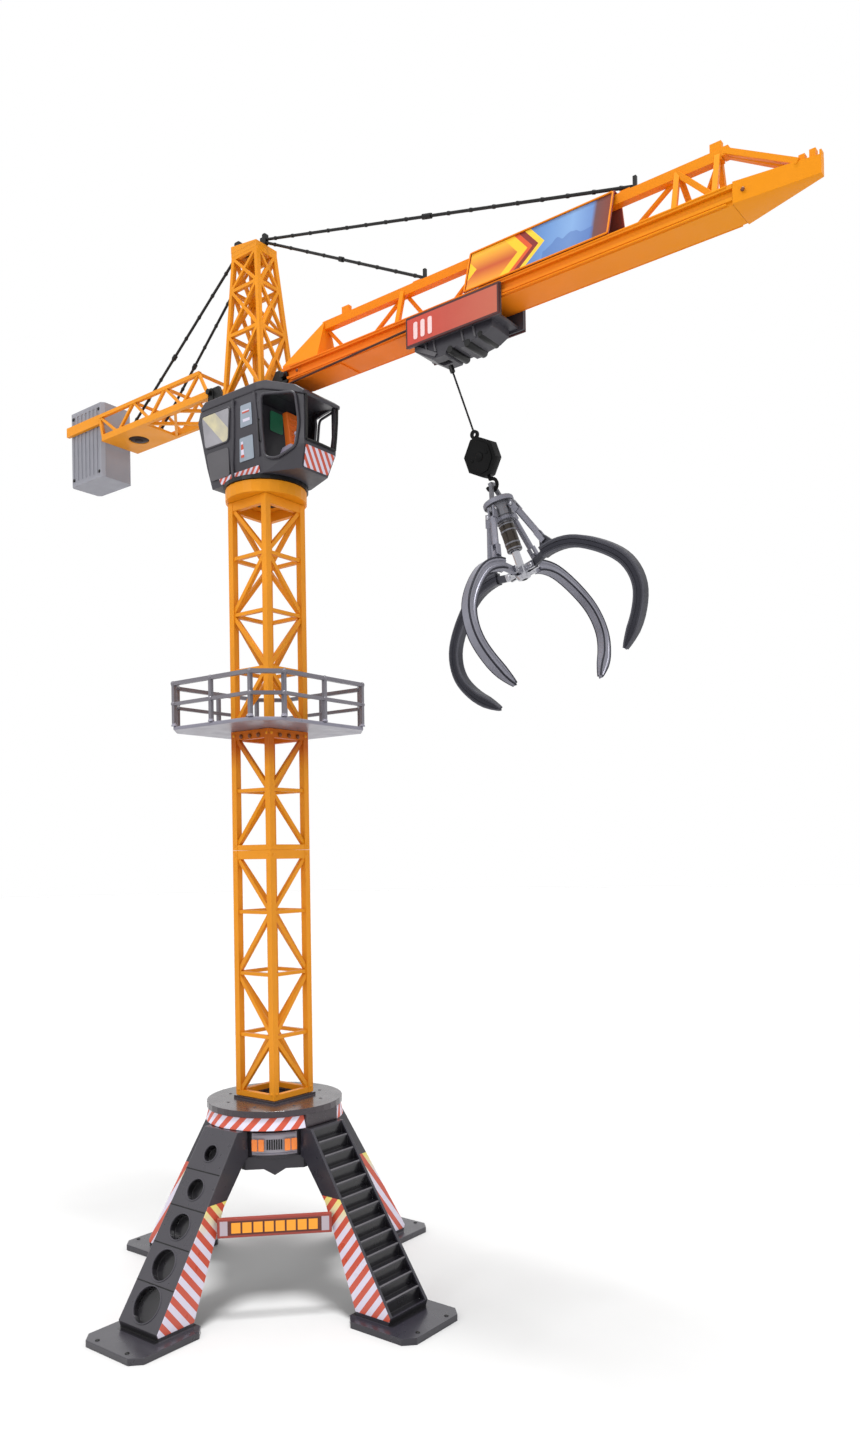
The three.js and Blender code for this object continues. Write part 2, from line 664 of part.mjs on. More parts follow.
// Truss members whose top node lies between two distances from the mast.
function trussBars(x0, x1) {
  const bars = [];
  CHORD_NODES.forEach((node, k) => {
    if (node < x0 || node >= x1) return;
    if (k > 0) bars.push(trussBar(-1, node, node + 2, 4.6));
    const next = CHORD_NODES[k + 1];
    if (next === undefined) return;
    const foot = node + (next - node) * 0.27;
    bars.push(trussBar(1, node, foot, 3.8));
    if (next < x1) bars.push(trussBar(1, next, foot, 3.2));
    if (k === CHORD_NODES.length - 2) bars.push(trussBar(-1, node, next, 4.6), trussBar(1, next, next, 4.6));
  });
  return bars;
}

// Small lugs that stand on the top chord.
const chordLug = (x, height) => block([x - 5, -2.5, CHORD_TOP - 1], [x + 5, 2.5, CHORD_TOP + height]);

function jibInner() {
  const root = loft([
    [[JIB_ROOT, -17, 1029], [JIB_ROOT, 17, 1029], [JIB_ROOT, 17, 1033], [JIB_ROOT, -17, 1033]],
    [[CHORD_START + 3, -17, 1029], [CHORD_START + 3, 17, 1029], [CHORD_START + 3, 4, CHORD_TOP],
      [CHORD_START + 3, -4, CHORD_TOP]],
  ]);
  const base = section(JIB_SECTION, JIB_ROOT, JIB_SPLIT);
  const cover = block([JIB_ROOT, -15, JIB_BOTTOM - 1.5], [132, 15, JIB_BOTTOM + 1]);
  const bars = trussBars(CHORD_START, JIB_SPLIT);
  const endBar = trussBar(1, JIB_SPLIT - 3, CHORD_NODES[1] + (CHORD_NODES[2] - CHORD_NODES[1]) * 0.27, 3.2);
  return join([base, root, cover, chordBar(CHORD_START, JIB_SPLIT), ...bars, endBar, chordLug(128, 8),
    chordLug(STAY_PEGS[0] - 9, 2)]);
}

function jibOuter() {
  const start = JIB_SPLIT + GAP;
  const bars = trussBars(JIB_SPLIT + 1, CHORD_END);
  const firstPost = trussBar(-1, start + 3, start + 4, 4.6);
  const firstBar = trussBar(1, CHORD_NODES[3], start + 28, 3.2);
  const firstDrop = trussBar(1, start + 3, start + 28, 3.8);
  return join([section(JIB_SECTION, start, JIB_END), chordBar(start, CHORD_END), ...bars, firstPost, firstBar,
    firstDrop, chordLug(STAY_PEGS[1] - 9, 2), chordLug(545, 8)]);
}

// Tapered nose with two sloping bars from the end of the top chord and three lugs at the tip.
function jibNose() {
  const start = JIB_END + GAP;
  const body = loft([
    [[start, -JIB_HALF, JIB_BOTTOM], [start, JIB_HALF, JIB_BOTTOM], [start, JIB_HALF, 1031],
      [start, -JIB_HALF, 1031]],
    [[JIB_TIP, -3.4, 1019], [JIB_TIP, 3.4, 1019], [JIB_TIP, 3.4, 1034], [JIB_TIP, -3.4, 1034]],
  ]);
  const hollow = loft([
    [[start + 6, -13, 1018], [start + 6, 13, 1018], [start + 6, 14, 1045], [start + 6, -14, 1045]],
    [[JIB_TIP - 26, -4, 1023], [JIB_TIP - 26, 4, 1023], [JIB_TIP - 26, 5, 1045], [JIB_TIP - 26, -5, 1045]],
  ]);
  const braces = [-1, 1].map((side) =>
    bar([CHORD_END + 3, side * 3, CHORD_TOP - 3.5], [JIB_TIP - 17, side * 5.5, 1033], 5, 4.6));
  const crown = block([CHORD_END + GAP, -5, CHORD_TOP - 7], [CHORD_END + 6, 5, CHORD_TOP]);
  const lugs = [[0, 1.6, 1038], [4.5, 5, 1041], [13, 5, 1040]].map(([back, length, top]) =>
    block([JIB_TIP - back - length, -3, 1030], [JIB_TIP - back, 3, top]));
  return join([cut(body, [hollow]), ...braces, crown, ...lugs]);
}

// Sign folded over the top chord, leaning on the jib's two ledges.
function jibSign() {
  const outer = [
    [-19, LEDGE_TOP + 0.5], [-6, CHORD_TOP + 2.8], [6, CHORD_TOP + 2.8], [19, LEDGE_TOP + 0.5],
  ];
  const inner = [
    [17.6, LEDGE_TOP + 0.5], [5, CHORD_TOP + 1.3], [-5, CHORD_TOP + 1.3], [-17.6, LEDGE_TOP + 0.5],
  ];
  return section([...outer, ...inner].reverse(), SIGN_START, SIGN_END);
}

put('jib_inner', jibInner(), JIB_ORANGE, upper);
put('jib_outer', jibOuter(), JIB_ORANGE, upper);
put('jib_nose', jibNose(), JIB_ORANGE, upper);
put('jib_sign', jibSign(), SIGN_BLUE, upper);
const trolleyLine = rod([JIB_ROOT + 4, -17.3, 1014.6], [TROLLEY_X - 40, -17.3, 1014.6], 0.8, 6);
put('trolley_line', trolleyLine, CORD_BLACK, upper);

// ---------------------------------------------------------------- counter-jib

function counterJib() {
  const pieces = [];
  const topNodes = [84, 146, 208, COUNTER_INNER + 6];
  const footNodes = [COUNTER_ROOT + 2, 115, 177, 240];
  for (const side of [-1, 1]) {
    const y = side * (COUNTER_HALF - 2.5);
    const low = (x) => [-x, y, COUNTER_BOTTOM + 4];
    const high = (x) => [-x, y, COUNTER_TOP - 2.5];
    pieces.push(bar(low(COUNTER_ROOT), low(COUNTER_INNER), 5, 8));
    pieces.push(bar(high(topNodes[0] - 2), high(COUNTER_END - 4), 4.4, 4.4));
    topNodes.forEach((top, k) => {
      pieces.push(bar(low(footNodes[k]), high(top), 3.2, 3.2));
      if (k + 1 < footNodes.length) pieces.push(bar(low(footNodes[k + 1]), high(top), 3.2, 3.2));
    });
    pieces.push(bar(high(topNodes[3]), low(COUNTER_INNER - 2), 4, 4));
    pieces.push(block([-COUNTER_END, y - 2.2, COUNTER_TOP - 12], [-COUNTER_INNER - 6, y + 2.2, COUNTER_TOP]));
  }
  for (const x of topNodes.slice(0, 3)) {
    pieces.push(bar([-x, -COUNTER_HALF + 3, COUNTER_TOP - 2.5], [-x, COUNTER_HALF - 3, COUNTER_TOP - 2.5], 3, 3));
  }
  const floor = [COUNTER_BOTTOM, COUNTER_BOTTOM + 3];
  const outerPlate = block([-COUNTER_INNER, -26, floor[0]], [-186, 26, floor[1]]);
  pieces.push(cut(outerPlate, [disc(13, floor[0] - 2, floor[1] + 2, 24).translate(-232, 0, 0)]));
  pieces.push(block([-COUNTER_ROOT - 6, -26, floor[0]], [-COUNTER_ROOT, 26, floor[1] + 4]));
  for (const [x0, x1] of [[70, 129], [129, 188]]) {
    for (const side of [-1, 1]) {
      const z = COUNTER_BOTTOM + 2;
      pieces.push(bar([-x0, side * 25, z], [-x1, -side * 25, z], 3.4, 3.4));
    }
  }
  return join(pieces);
}

// Ribbed block with rounded upright edges.
function counterweight() {
  const [x0, x1] = [-COUNTER_END + 0.5, -COUNTER_INNER - 5];
  const y = COUNTER_HALF - 2.5 - 2.2 - GAP;
  const ribs = [];
  const count = 7;
  const pitch = (x1 - x0 - 12) / count;
  for (let i = 0; i < count; i += 1) {
    for (const side of [-1, 1]) {
      const x = x0 + 6 + pitch * (i + 0.5);
      const half = pitch / 4;
      ribs.push(block([x - half, side * y - 1, WEIGHT_BOTTOM + 6], [x + half, side * y + 1, WEIGHT_TOP - 6]));
    }
  }
  const chop = 4;
  const plan = [
    [x0 + chop, -y], [x1 - chop, -y], [x1, -y + chop], [x1, y - chop], [x1 - chop, y], [x0 + chop, y],
    [x0, y - chop], [x0, -y + chop],
  ];
  return cut(prism(plan, WEIGHT_BOTTOM, WEIGHT_TOP), ribs);
}

put('counter_jib', counterJib(), JIB_ORANGE, upper);
put('counterweight', counterweight(), WEIGHT_GREY, upper);

// ---------------------------------------------------------------- stays

// A thin moulded rod with one bead along it and an upright peg at its lower end.
function stay(from, to, beadAt, pegHeight) {
  const point = (t) => from.map((value, i) => value + (to[i] - value) * t);
  const pieces = [rod(from, to, 1.4, 6)];
  pieces.push(rod(point(beadAt - 0.012), point(beadAt + 0.012), 2.8, 8));
  pieces.push(block([to[0] - 1.6, to[1] - 1.6, to[2] - 2], [to[0] + 1.6, to[1] + 1.6, to[2] + pegHeight]));
  return join(pieces);
}

const hornFront = [7.5, 0, TOTAL_HEIGHT - 3.5];
const pegZ = CHORD_TOP + 2 + GAP;
put('forestay_lower', stay([7.5, 0, TOTAL_HEIGHT - 7.5], [STAY_PEGS[0], 0, pegZ], 0.5, 9), BLACK, upper);
put('forestay_upper', stay(hornFront, [STAY_PEGS[1], 0, pegZ], 0.5, 9), BLACK, upper);
for (const [name, side] of [['backstay_left', -1], ['backstay_right', 1]]) {
  const foot = [-222, side * 20, COUNTER_BOTTOM + 5.3];
  put(name, stay([-39.5, side * 10, 1182], foot, 0.55, 2), BLACK, upper);
}

// ---------------------------------------------------------------- trolley

const trolley = new THREE.Group();
trolley.position.x = TROLLEY_X;
crane.add(trolley);

const CHEEK_IN = JIB_HALF + 0.8;
const CHEEK_OUT = CHEEK_IN + 2.5;
const WHEEL_PLACES = [-42, 42];
const SHEAVE_X = HANG.x - SHEAVE_R - TROLLEY_X;
const SHEAVE_Z = 989;

// Two cheeks outside the jib, joined below it by a body with a sloping rear end.
function trolleyFrame() {
  const body = [
    [-TROLLEY_HALF + 4, 1001], [-TROLLEY_HALF + 4, 994], [-30, 980], [-14, 980], [-12, 984], [0, 984],
    [4, 981], [14, 981], [18, 984], [32, 986], [42, 991], [42, 1001],
  ];
  const cheek = [
    [-TROLLEY_HALF, 996], [TROLLEY_HALF, 996], [TROLLEY_HALF, 1026], [-TROLLEY_HALF, 1026],
  ];
  const bridge = block([-TROLLEY_HALF + 4, -CHEEK_IN - 1, 998], [TROLLEY_HALF - 6, CHEEK_IN + 1, 1001]);
  const pieces = [plate(body, -15, 15), bridge];
  for (const side of [-1, 1]) {
    const inner = side * CHEEK_IN;
    pieces.push(plate(cheek, Math.min(inner, side * CHEEK_OUT), Math.max(inner, side * CHEEK_OUT)));
    for (const x of WHEEL_PLACES) {
      pieces.push(rod([x, side * (CHEEK_IN + 1), WHEEL_Z], [x, side * 15.4, WHEEL_Z], 1, 8));
    }
  }
  const slot = block([SHEAVE_X - 8.5, -3.4, 970], [SHEAVE_X + 8.5, 3.4, 1005]);
  return join([cut(join(pieces), [slot]), rod([SHEAVE_X, -5, SHEAVE_Z], [SHEAVE_X, 5, SHEAVE_Z], 1.4, 8)]);
}

put('trolley_frame', trolleyFrame(), CHARCOAL, trolley);
for (const [name, side] of [['trolley_plate_left', -1], ['trolley_plate_right', 1]]) {
  const [y0, y1] = [side * (CHEEK_OUT + GAP), side * (CHEEK_OUT + 2.3)].sort((a, b) => a - b);
  put(name, block([-TROLLEY_HALF, y0, 995], [TROLLEY_HALF, y1, 1025]), PLATE_RED, trolley);
}
for (const [name, x, side] of [
  ['wheel_left_rear', 0, -1], ['wheel_left_front', 1, -1],
  ['wheel_right_rear', 0, 1], ['wheel_right_front', 1, 1],
]) {
  const wheel = tube(WHEEL_R, 1.35, -1.4, 1.4, 16).rotateX(Math.PI / 2);
  put(name, wheel, BLACK, trolley).position.set(WHEEL_PLACES[x], side * 17, WHEEL_Z);
}
const sheave = tube(SHEAVE_R, 1.8, -2.5, 2.5, 20).rotateX(Math.PI / 2);
put('hoist_sheave', sheave, BLACK, trolley).position.set(SHEAVE_X, 0, SHEAVE_Z);

// ---------------------------------------------------------------- load

// Group whose -Z runs down the load's axis; its origin is the point the load hangs from.
const load = new THREE.Group();
load.position.copy(HANG);
const leanAxis = new THREE.Vector3(-Math.sin(LOAD_HEADING), Math.cos(LOAD_HEADING), 0);
load.quaternion.setFromAxisAngle(leanAxis, -LOAD_LEAN);
crane.add(load);

put('cord_guide', tube(2.6, 1.2, -9, -2, 12), BLACK, load);
put('hoist_cord', disc(0.9, -CORD_END, -CORD_START, 8), CORD_BLACK, load);

function hookBlock() {
  const [w, h] = [17, 20];
  const face = [[-w, -8], [-4, -h], [4, -h], [w, -8], [w, 8], [4, h], [-4, h], [-w, 8]];
  const body = plate(face, -5.5, 5.5).translate(0, 0, -BLOCK_MIDDLE);
  const eye = plate(circle(4.5, 14), -1.6, 1.6, [circle(2, 10)]).translate(0, 0, -CORD_END - 4.8);
  const neck = disc(2.2, -BLOCK_MIDDLE + h - 4, -CORD_END - 7.5, 10);
  return join([body, eye, neck]);
}

// A round hook that stands in the plane of the block's face.
function hook() {
  const middle = BLOCK_MIDDLE + 20 + 9;
  const arc = new THREE.CatmullRomCurve3(Array.from({ length: 9 }, (_, i) => {
    const angle = Math.PI / 2 - (i / 8) * Math.PI * 1.5;
    return new THREE.Vector3(6 * Math.cos(angle), 0, 6 * Math.sin(angle) - middle);
  }));
  const bend = new THREE.ExtrudeGeometry(outlineShape(circle(1.8, 8)), {
    steps: 12, extrudePath: arc, bevelEnabled: false,
  });
  const shank = disc(1.8, -middle + 5, -BLOCK_MIDDLE - 20 - GAP, 8);
  return join([bend, shank]);
}

put('hook_block', hookBlock(), BLACK, load);
put('hook', hook(), BLACK, load);

// Yoke bail on the hook, collar with four strut lugs, cup and cylinder.
function grappleHead() {
  const top = BLOCK_MIDDLE + 20 + 9 + 6;
  const bailTop = -(top - 1.8 - 4.2);
  const collarTop = -COLLAR_MIDDLE + 8;
  const bars = [-1, 1].map((side) => bar([0, side * 1.5, bailTop], [0, side * 11, collarTop - 1], 4, 3));
  const bridge = block([-2, -4, bailTop - 2.2], [2, 4, bailTop + 1.8]);
  const collar = disc(11, -COLLAR_MIDDLE - 8, collarTop, 16);
  const flange = disc(15, collarTop - 3, collarTop + 2, 20);
  const cup = disc(10, -COLLAR_MIDDLE - 13, -COLLAR_MIDDLE - 7, 16);
  const barrel = disc(7.3, -CYLINDER_END, -COLLAR_MIDDLE - 12, 16);
  const lugs = [0, 1, 2, 3].map((k) => {
    const [r, s] = STRUT_PIVOT;
    const ear = join([
      plate(circle(3.6, 12, r, -s), -1.4, 1.4),
      plate([[8, -s - 3.4], [r, -s - 3.4], [r, -s + 3.4], [8, -s + 3.4]], -1.4, 1.4),
      rod([r, -4.4, -s], [r, 4.4, -s], 1.3, 8),
    ]);
    return ear.rotateZ((k * Math.PI) / 2);
  });
  const bore = disc(4.5, -CYLINDER_END - 1, -COLLAR_MIDDLE - 15, 16);
  return cut(join([...bars, bridge, collar, flange, cup, barrel, ...lugs]), [bore]);
}

// Rod that slides in the cylinder, with a hub that carries the four claws on pins.
function plunger() {
  const shaft = disc(4, -HUB_MIDDLE, -COLLAR_MIDDLE - 33, 14);
  const core = disc(8, -HUB_MIDDLE - 5, -HUB_MIDDLE + 4, 16);
  const pieces = [shaft, core];
  for (let k = 0; k < 4; k += 1) {
    const ears = [];
    for (const side of [-1, 1]) {
      ears.push(block([4, side > 0 ? 2.7 : -5.1, -HUB_MIDDLE - 3.6], [CLAW_PIVOT_R + 3.6, side > 0 ? 5.1 : -2.7,
        -HUB_MIDDLE + 3.6]));
    }
    ears.push(rod([CLAW_PIVOT_R, -4, -HUB_MIDDLE], [CLAW_PIVOT_R, 4, -HUB_MIDDLE], 1.4, 8));
    pieces.push(...ears.map((ear) => ear.rotateZ((k * Math.PI) / 2)));
  }
  return join(pieces);
}

// Middle line of a claw: radius and distance down the axis, from the hub to the tip.
const CLAW_LINE = new THREE.CatmullRomCurve3([
  [14, 222], [34, 216], [62, 221], [90, 240], [109, 263], [113, 289], [101, 314], [78, 337],
].map(([r, s]) => new THREE.Vector3(r, 0, -s)));

function claw() {
  const stations = 14;
  const upperEdge = [];
  const lowerEdge = [];
  for (let i = 0; i <= stations; i += 1) {
    const t = i / stations;
    const point = CLAW_LINE.getPoint(t);
    const tangent = CLAW_LINE.getTangent(t);
    const depth = 5.8 - 3.6 * Math.max(0, t - 0.92) / 0.08;
    const normal = [-tangent.z * depth, tangent.x * depth];
    if (t > 0.1) {
      upperEdge.push([point.x + normal[0], point.z + normal[1]]);
      lowerEdge.push([point.x - normal[0], point.z - normal[1]]);
    }
  }
  const arm = plate([...lowerEdge, ...upperEdge.reverse()], -4.5, 4.5);
  const position = arm.attributes.position;
  for (let i = 0; i < position.count; i += 1) {
    const beyond = Math.max(0, -318 - position.getZ(i));
    position.setY(i, position.getY(i) * (1 - beyond / 36));
  }
  const [lugR, lugS] = CLAW_LUG;
  const root = [
    [CLAW_PIVOT_R - 1, -HUB_MIDDLE - 3.4], [34, -220], [34, -212], [CLAW_PIVOT_R - 1, -HUB_MIDDLE + 3.4],
  ];
  const lug = [[lugR - 7, -214], [lugR + 12, -214], [lugR + 3, -lugS + 3], [lugR - 3, -lugS + 3]];
  const whole = join([
    arm, plate(root, -2.3, 2.3), plate(circle(3.6, 14, CLAW_PIVOT_R, -HUB_MIDDLE), -2.3, 2.3),
    plate(lug, -1.5, 1.5),
  ]);
  return cut(whole, [plate(circle(1.75, 10, CLAW_PIVOT_R, -HUB_MIDDLE), -6, 6)]);
}

// Strut from the collar to a claw's lug. Its lower fork stays clear of the lug.
function strut() {
  const [r0, s0] = STRUT_PIVOT;
  const [r1, s1] = CLAW_LUG;
  const length = Math.hypot(r1 - r0, s1 - s0);
  const pieces = [rod([0, 0, -9], [0, 0, -length + 9], 3.4, 10)];
  for (const side of [-1, 1]) {
    const [y0, y1] = side > 0 ? [1.9, 3.9] : [-3.9, -1.9];
    pieces.push(block([-2.8, y0, -10], [2.8, y1, 2.8]));
    pieces.push(block([-2.6, y0, -length - 2.6], [2.6, y1, -length + 10]));
  }
  const whole = cut(join(pieces), [plate(circle(1.65, 10), -6, 6)]);
  const lean = Math.atan2(r1 - r0, s1 - s0);
  return whole.rotateY(-lean).translate(r0, 0, -s0);
}

const grapple = new THREE.Group();
grapple.rotation.z = CLAW_TURN;
load.add(grapple);
put('grapple_head', grappleHead(), GUNMETAL, grapple);
put('plunger', plunger(), STEEL, grapple);
for (let k = 0; k < 4; k += 1) {
  put(`claw_${k + 1}`, claw(), GUNMETAL, grapple).rotation.z = (k * Math.PI) / 2;
  put(`strut_${k + 1}`, strut(), GUNMETAL, grapple).rotation.z = (k * Math.PI) / 2;
}

export default crane;
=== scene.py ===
import json
import math

import bmesh
import bpy
from mathutils import Matrix, Vector


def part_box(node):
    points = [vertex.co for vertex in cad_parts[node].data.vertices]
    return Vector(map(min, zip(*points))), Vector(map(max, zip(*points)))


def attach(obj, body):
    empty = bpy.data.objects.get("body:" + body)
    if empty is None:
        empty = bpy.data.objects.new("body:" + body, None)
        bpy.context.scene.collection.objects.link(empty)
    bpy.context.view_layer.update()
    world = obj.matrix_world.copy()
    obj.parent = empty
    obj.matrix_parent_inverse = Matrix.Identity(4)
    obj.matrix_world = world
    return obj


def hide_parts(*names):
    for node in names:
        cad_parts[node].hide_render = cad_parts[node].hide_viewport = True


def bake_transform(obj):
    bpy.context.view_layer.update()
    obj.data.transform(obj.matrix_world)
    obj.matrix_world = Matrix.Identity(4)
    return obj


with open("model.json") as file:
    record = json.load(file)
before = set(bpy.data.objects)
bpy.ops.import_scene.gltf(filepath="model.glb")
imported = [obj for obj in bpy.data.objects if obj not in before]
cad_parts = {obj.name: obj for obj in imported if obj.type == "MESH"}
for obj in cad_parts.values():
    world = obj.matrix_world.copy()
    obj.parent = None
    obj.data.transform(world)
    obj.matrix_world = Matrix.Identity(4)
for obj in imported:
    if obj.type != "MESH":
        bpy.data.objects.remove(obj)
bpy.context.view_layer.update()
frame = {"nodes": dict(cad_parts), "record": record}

MM = 0.001


def centre(node):
    """The middle of a CAD node's box, in metres."""
    low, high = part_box(node)
    return (low + high) / 2


# Pieces are placed from the mast's axis, which stands apart from the frame's origin.
MAST_X = centre("crown_ring").x


def at(x, y, z):
    """A point given in millimetres from the mast's axis."""
    return Vector((MAST_X + x * MM, y * MM, z * MM))


# -------- camera

scene = bpy.context.scene
HEADING = math.radians(37.65)
ROLL = math.radians(0.83)
right = Vector((math.cos(HEADING), math.sin(HEADING), 0))
back = Vector((math.sin(HEADING), -math.cos(HEADING), 0))
up = Vector((0, 0, 1))
camera_data = bpy.data.cameras.new("photo_camera")
camera_data.lens = 26.545
camera_data.sensor_width = 36
camera_data.shift_y = 0.0943
camera_data.clip_start = 0.01
camera = bpy.data.objects.new("photo_camera", camera_data)
scene.collection.objects.link(camera)
camera_right = right * math.cos(ROLL) - up * math.sin(ROLL)
camera_up = right * math.sin(ROLL) + up * math.cos(ROLL)
axes = Matrix((camera_right, camera_up, back)).transposed()
camera.matrix_world = Matrix.Translation(at(892.2, -857.4, 486.0)) @ axes.to_4x4()
scene.camera = camera

# -------- shader helpers

scene.view_settings.view_transform = "Standard"


def node(tree, kind, **values):
    """A new shader node. Each value sets a property of that name, or else an input."""
    made = tree.nodes.new(kind)
    for key, value in values.items():
        if hasattr(made, key):
            setattr(made, key, value)
        else:
            made.inputs[key.replace("_", " ")].default_value = value
    return made


def srgb(r, g, b):
    """A linear colour from display values of 0 to 255."""
    return tuple(((c / 255 + 0.055) / 1.055) ** 2.4 if c > 10 else c / 3295 for c in (r, g, b)) + (1,)


def calc(tree, operation, a, b=0.0):
    """The output of a maths node. a and b are numbers or sockets."""
    made = tree.nodes.new("ShaderNodeMath")
    made.operation = operation
    for socket, value in zip(made.inputs, (a, b)):
        if isinstance(value, (int, float)):
            socket.default_value = value
        else:
            tree.links.new(value, socket)
    return made.outputs[0]


def mix(tree, factor, a, b):
    """Colour a where factor is 0, b where it is 1."""
    made = tree.nodes.new("ShaderNodeMix")
    made.data_type = "RGBA"
    for socket, value in ((made.inputs[0], factor), (made.inputs[6], a), (made.inputs[7], b)):
        if isinstance(value, (int, float, tuple)):
            socket.default_value = value
        else:
            tree.links.new(value, socket)
    return made.outputs[2]


def position(tree, output="Object"):
    """x, y and z of the shaded point; x is measured from the mast's axis, all in millimetres."""
    coordinates = tree.nodes.new("ShaderNodeTexCoord")
    split = tree.nodes.new("ShaderNodeSeparateXYZ")
    tree.links.new(coordinates.outputs[output], split.inputs[0])
    if output == "Normal":
        return split.outputs
    x = calc(tree, "MULTIPLY", calc(tree, "SUBTRACT", split.outputs[0], MAST_X), 1000)
    return x, calc(tree, "MULTIPLY", split.outputs[1], 1000), calc(tree, "MULTIPLY", split.outputs[2], 1000)


def between(tree, value, low, high):
    """1 where value lies between low and high, 0 elsewhere."""
    above = calc(tree, "GREATER_THAN", value, low)
    below = calc(tree, "LESS_THAN", value, high)
    return calc(tree, "MULTIPLY", above, below)


def clamp(tree, value, high=1.0):
    """value, kept between 0 and high."""
    return calc(tree, "MINIMUM", calc(tree, "MAXIMUM", value, 0.0), high)


def noise(tree, scale, detail=3.0, stretch=(1, 1, 1)):
    """Soft noise fixed to the object."""
    coordinates = node(tree, "ShaderNodeTexCoord")
    mapping = node(tree, "ShaderNodeMapping")
    mapping.inputs["Scale"].default_value = stretch
    tree.links.new(coordinates.outputs["Object"], mapping.inputs["Vector"])
    made = node(tree, "ShaderNodeTexNoise", Scale=scale, Detail=detail)
    tree.links.new(mapping.outputs["Vector"], made.inputs["Vector"])
    return made.outputs["Fac"]


def ramp(tree, factor, stops):
    """Colours blended along factor. stops are pairs of place and colour."""
    made = node(tree, "ShaderNodeValToRGB")
    elements = made.color_ramp.elements
    while len(elements) < len(stops):
        elements.new(0.5)
    for element, (place, colour) in zip(elements, stops):
        element.position = place
        element.color = colour
    tree.links.new(factor, made.inputs["Fac"])
    return made.outputs["Color"]


def finish(name, colour, rough=0.4, metal=0.0, variation=0.06, grain=0.03, coat=0.0, fleck=900, pattern=None,
           worn=0.0, specular=0.4):
    """Moulded plastic or painted metal: slight colour drift, uneven gloss and a fine moulded grain.

    pattern(tree, base) may lay a printed pattern, painted shade or a painted highlight over the base colour.
    worn lightens exposed edges."""
    m = bpy.data.materials.new(name)
    m.use_nodes = True
    tree = m.node_tree
    shader = tree.nodes["Principled BSDF"]
    shader.inputs["Metallic"].default_value = metal
    shader.inputs["Coat Weight"].default_value = coat
    shader.inputs["Coat Roughness"].default_value = 0.12
    shader.inputs["Specular IOR Level"].default_value = specular
    dark = tuple(c * (1 - variation) for c in colour[:3]) + (1,)
    light = tuple(min(1, c * (1 + variation)) for c in colour[:3]) + (1,)
    base = ramp(tree, noise(tree, 22, 4), [(0.35, dark), (0.65, light)])
    if worn:
        geometry = node(tree, "ShaderNodeNewGeometry")
        edge = ramp(tree, geometry.outputs["Pointiness"], [(0.5, (0, 0, 0, 1)), (0.58, (1, 1, 1, 1))])
        pale = tuple(min(1, c * 1.5 + 0.06) for c in colour[:3]) + (1,)
        base = mix(tree, calc(tree, "MULTIPLY", edge, worn), base, pale)
    if pattern:
        base = pattern(tree, base)
    tree.links.new(base, shader.inputs["Base Color"])
    gloss = [(0.3, (rough * 0.85,) * 3 + (1,)), (0.7, (min(1, rough * 1.2),) * 3 + (1,))]
    tree.links.new(ramp(tree, noise(tree, 60, 5), gloss), shader.inputs["Roughness"])
    bump = node(tree, "ShaderNodeBump", Strength=grain, Distance=0.0005)
    tree.links.new(noise(tree, fleck, 2), bump.inputs["Height"])
    tree.links.new(bump.outputs["Normal"], shader.inputs["Normal"])
    return m


# -------- floor, backdrop and light

FLOOR_WHITE = finish("floor_white", (0.5, 0.5, 0.5, 1), 0.9, variation=0.004, grain=0.0, specular=0.0)
floor_mesh = bpy.data.meshes.new("floor")
floor_mesh.from_pydata([(-30, -30, 0), (30, -30, 0), (30, 30, 0), (-30, 30, 0)], [], [(0, 1, 2, 3)])
floor_mesh.materials.append(FLOOR_WHITE)
floor = bpy.data.objects.new("floor", floor_mesh)
scene.collection.objects.link(floor)

# A white ring wall far away, so that every side of the crane sees an even white studio.
WALL_LIGHT = bpy.data.materials.new("wall_light")
WALL_LIGHT.use_nodes = True
WALL_LIGHT.node_tree.nodes.clear()
glow = node(WALL_LIGHT.node_tree, "ShaderNodeEmission", Strength=1.0)
surface = node(WALL_LIGHT.node_tree, "ShaderNodeOutputMaterial")
WALL_LIGHT.node_tree.links.new(glow.outputs[0], surface.inputs["Surface"])
WALL_R, WALL_TOP, WALL_SIDES = 14, 26, 48
turns = [2 * math.pi * k / WALL_SIDES for k in range(WALL_SIDES)]
ring = [(WALL_R * math.cos(a), WALL_R * math.sin(a)) for a in turns]
following = [(k + 1) % WALL_SIDES for k in range(WALL_SIDES)]
wall_mesh = bpy.data.meshes.new("wall")
wall_mesh.from_pydata([(x, y, -0.1) for x, y in ring] + [(x, y, WALL_TOP) for x, y in ring], [],
                      [(k, n, n + WALL_SIDES, k + WALL_SIDES) for k, n in enumerate(following)])
wall_mesh.materials.append(WALL_LIGHT)
wall = bpy.data.objects.new("wall", wall_mesh)
scene.collection.objects.link(wall)
wall.visible_shadow = False

world = bpy.data.worlds.new("studio")
scene.world = world
world.use_nodes = True
world.node_tree.nodes["Background"].inputs["Color"].default_value = (1, 1, 1, 1)
world.node_tree.nodes["Background"].inputs["Strength"].default_value = 0.3


def area_light(name, place, target, size, power):
    """A square light at place that shines on target."""
    data = bpy.data.lights.new(name, "AREA")
    data.energy = power
    data.size = size
    light = bpy.data.objects.new(name, data)
    light.location = place
    light.rotation_euler = (Vector(target) - Vector(place)).to_track_quat("-Z", "Y").to_euler()
    scene.collection.objects.link(light)


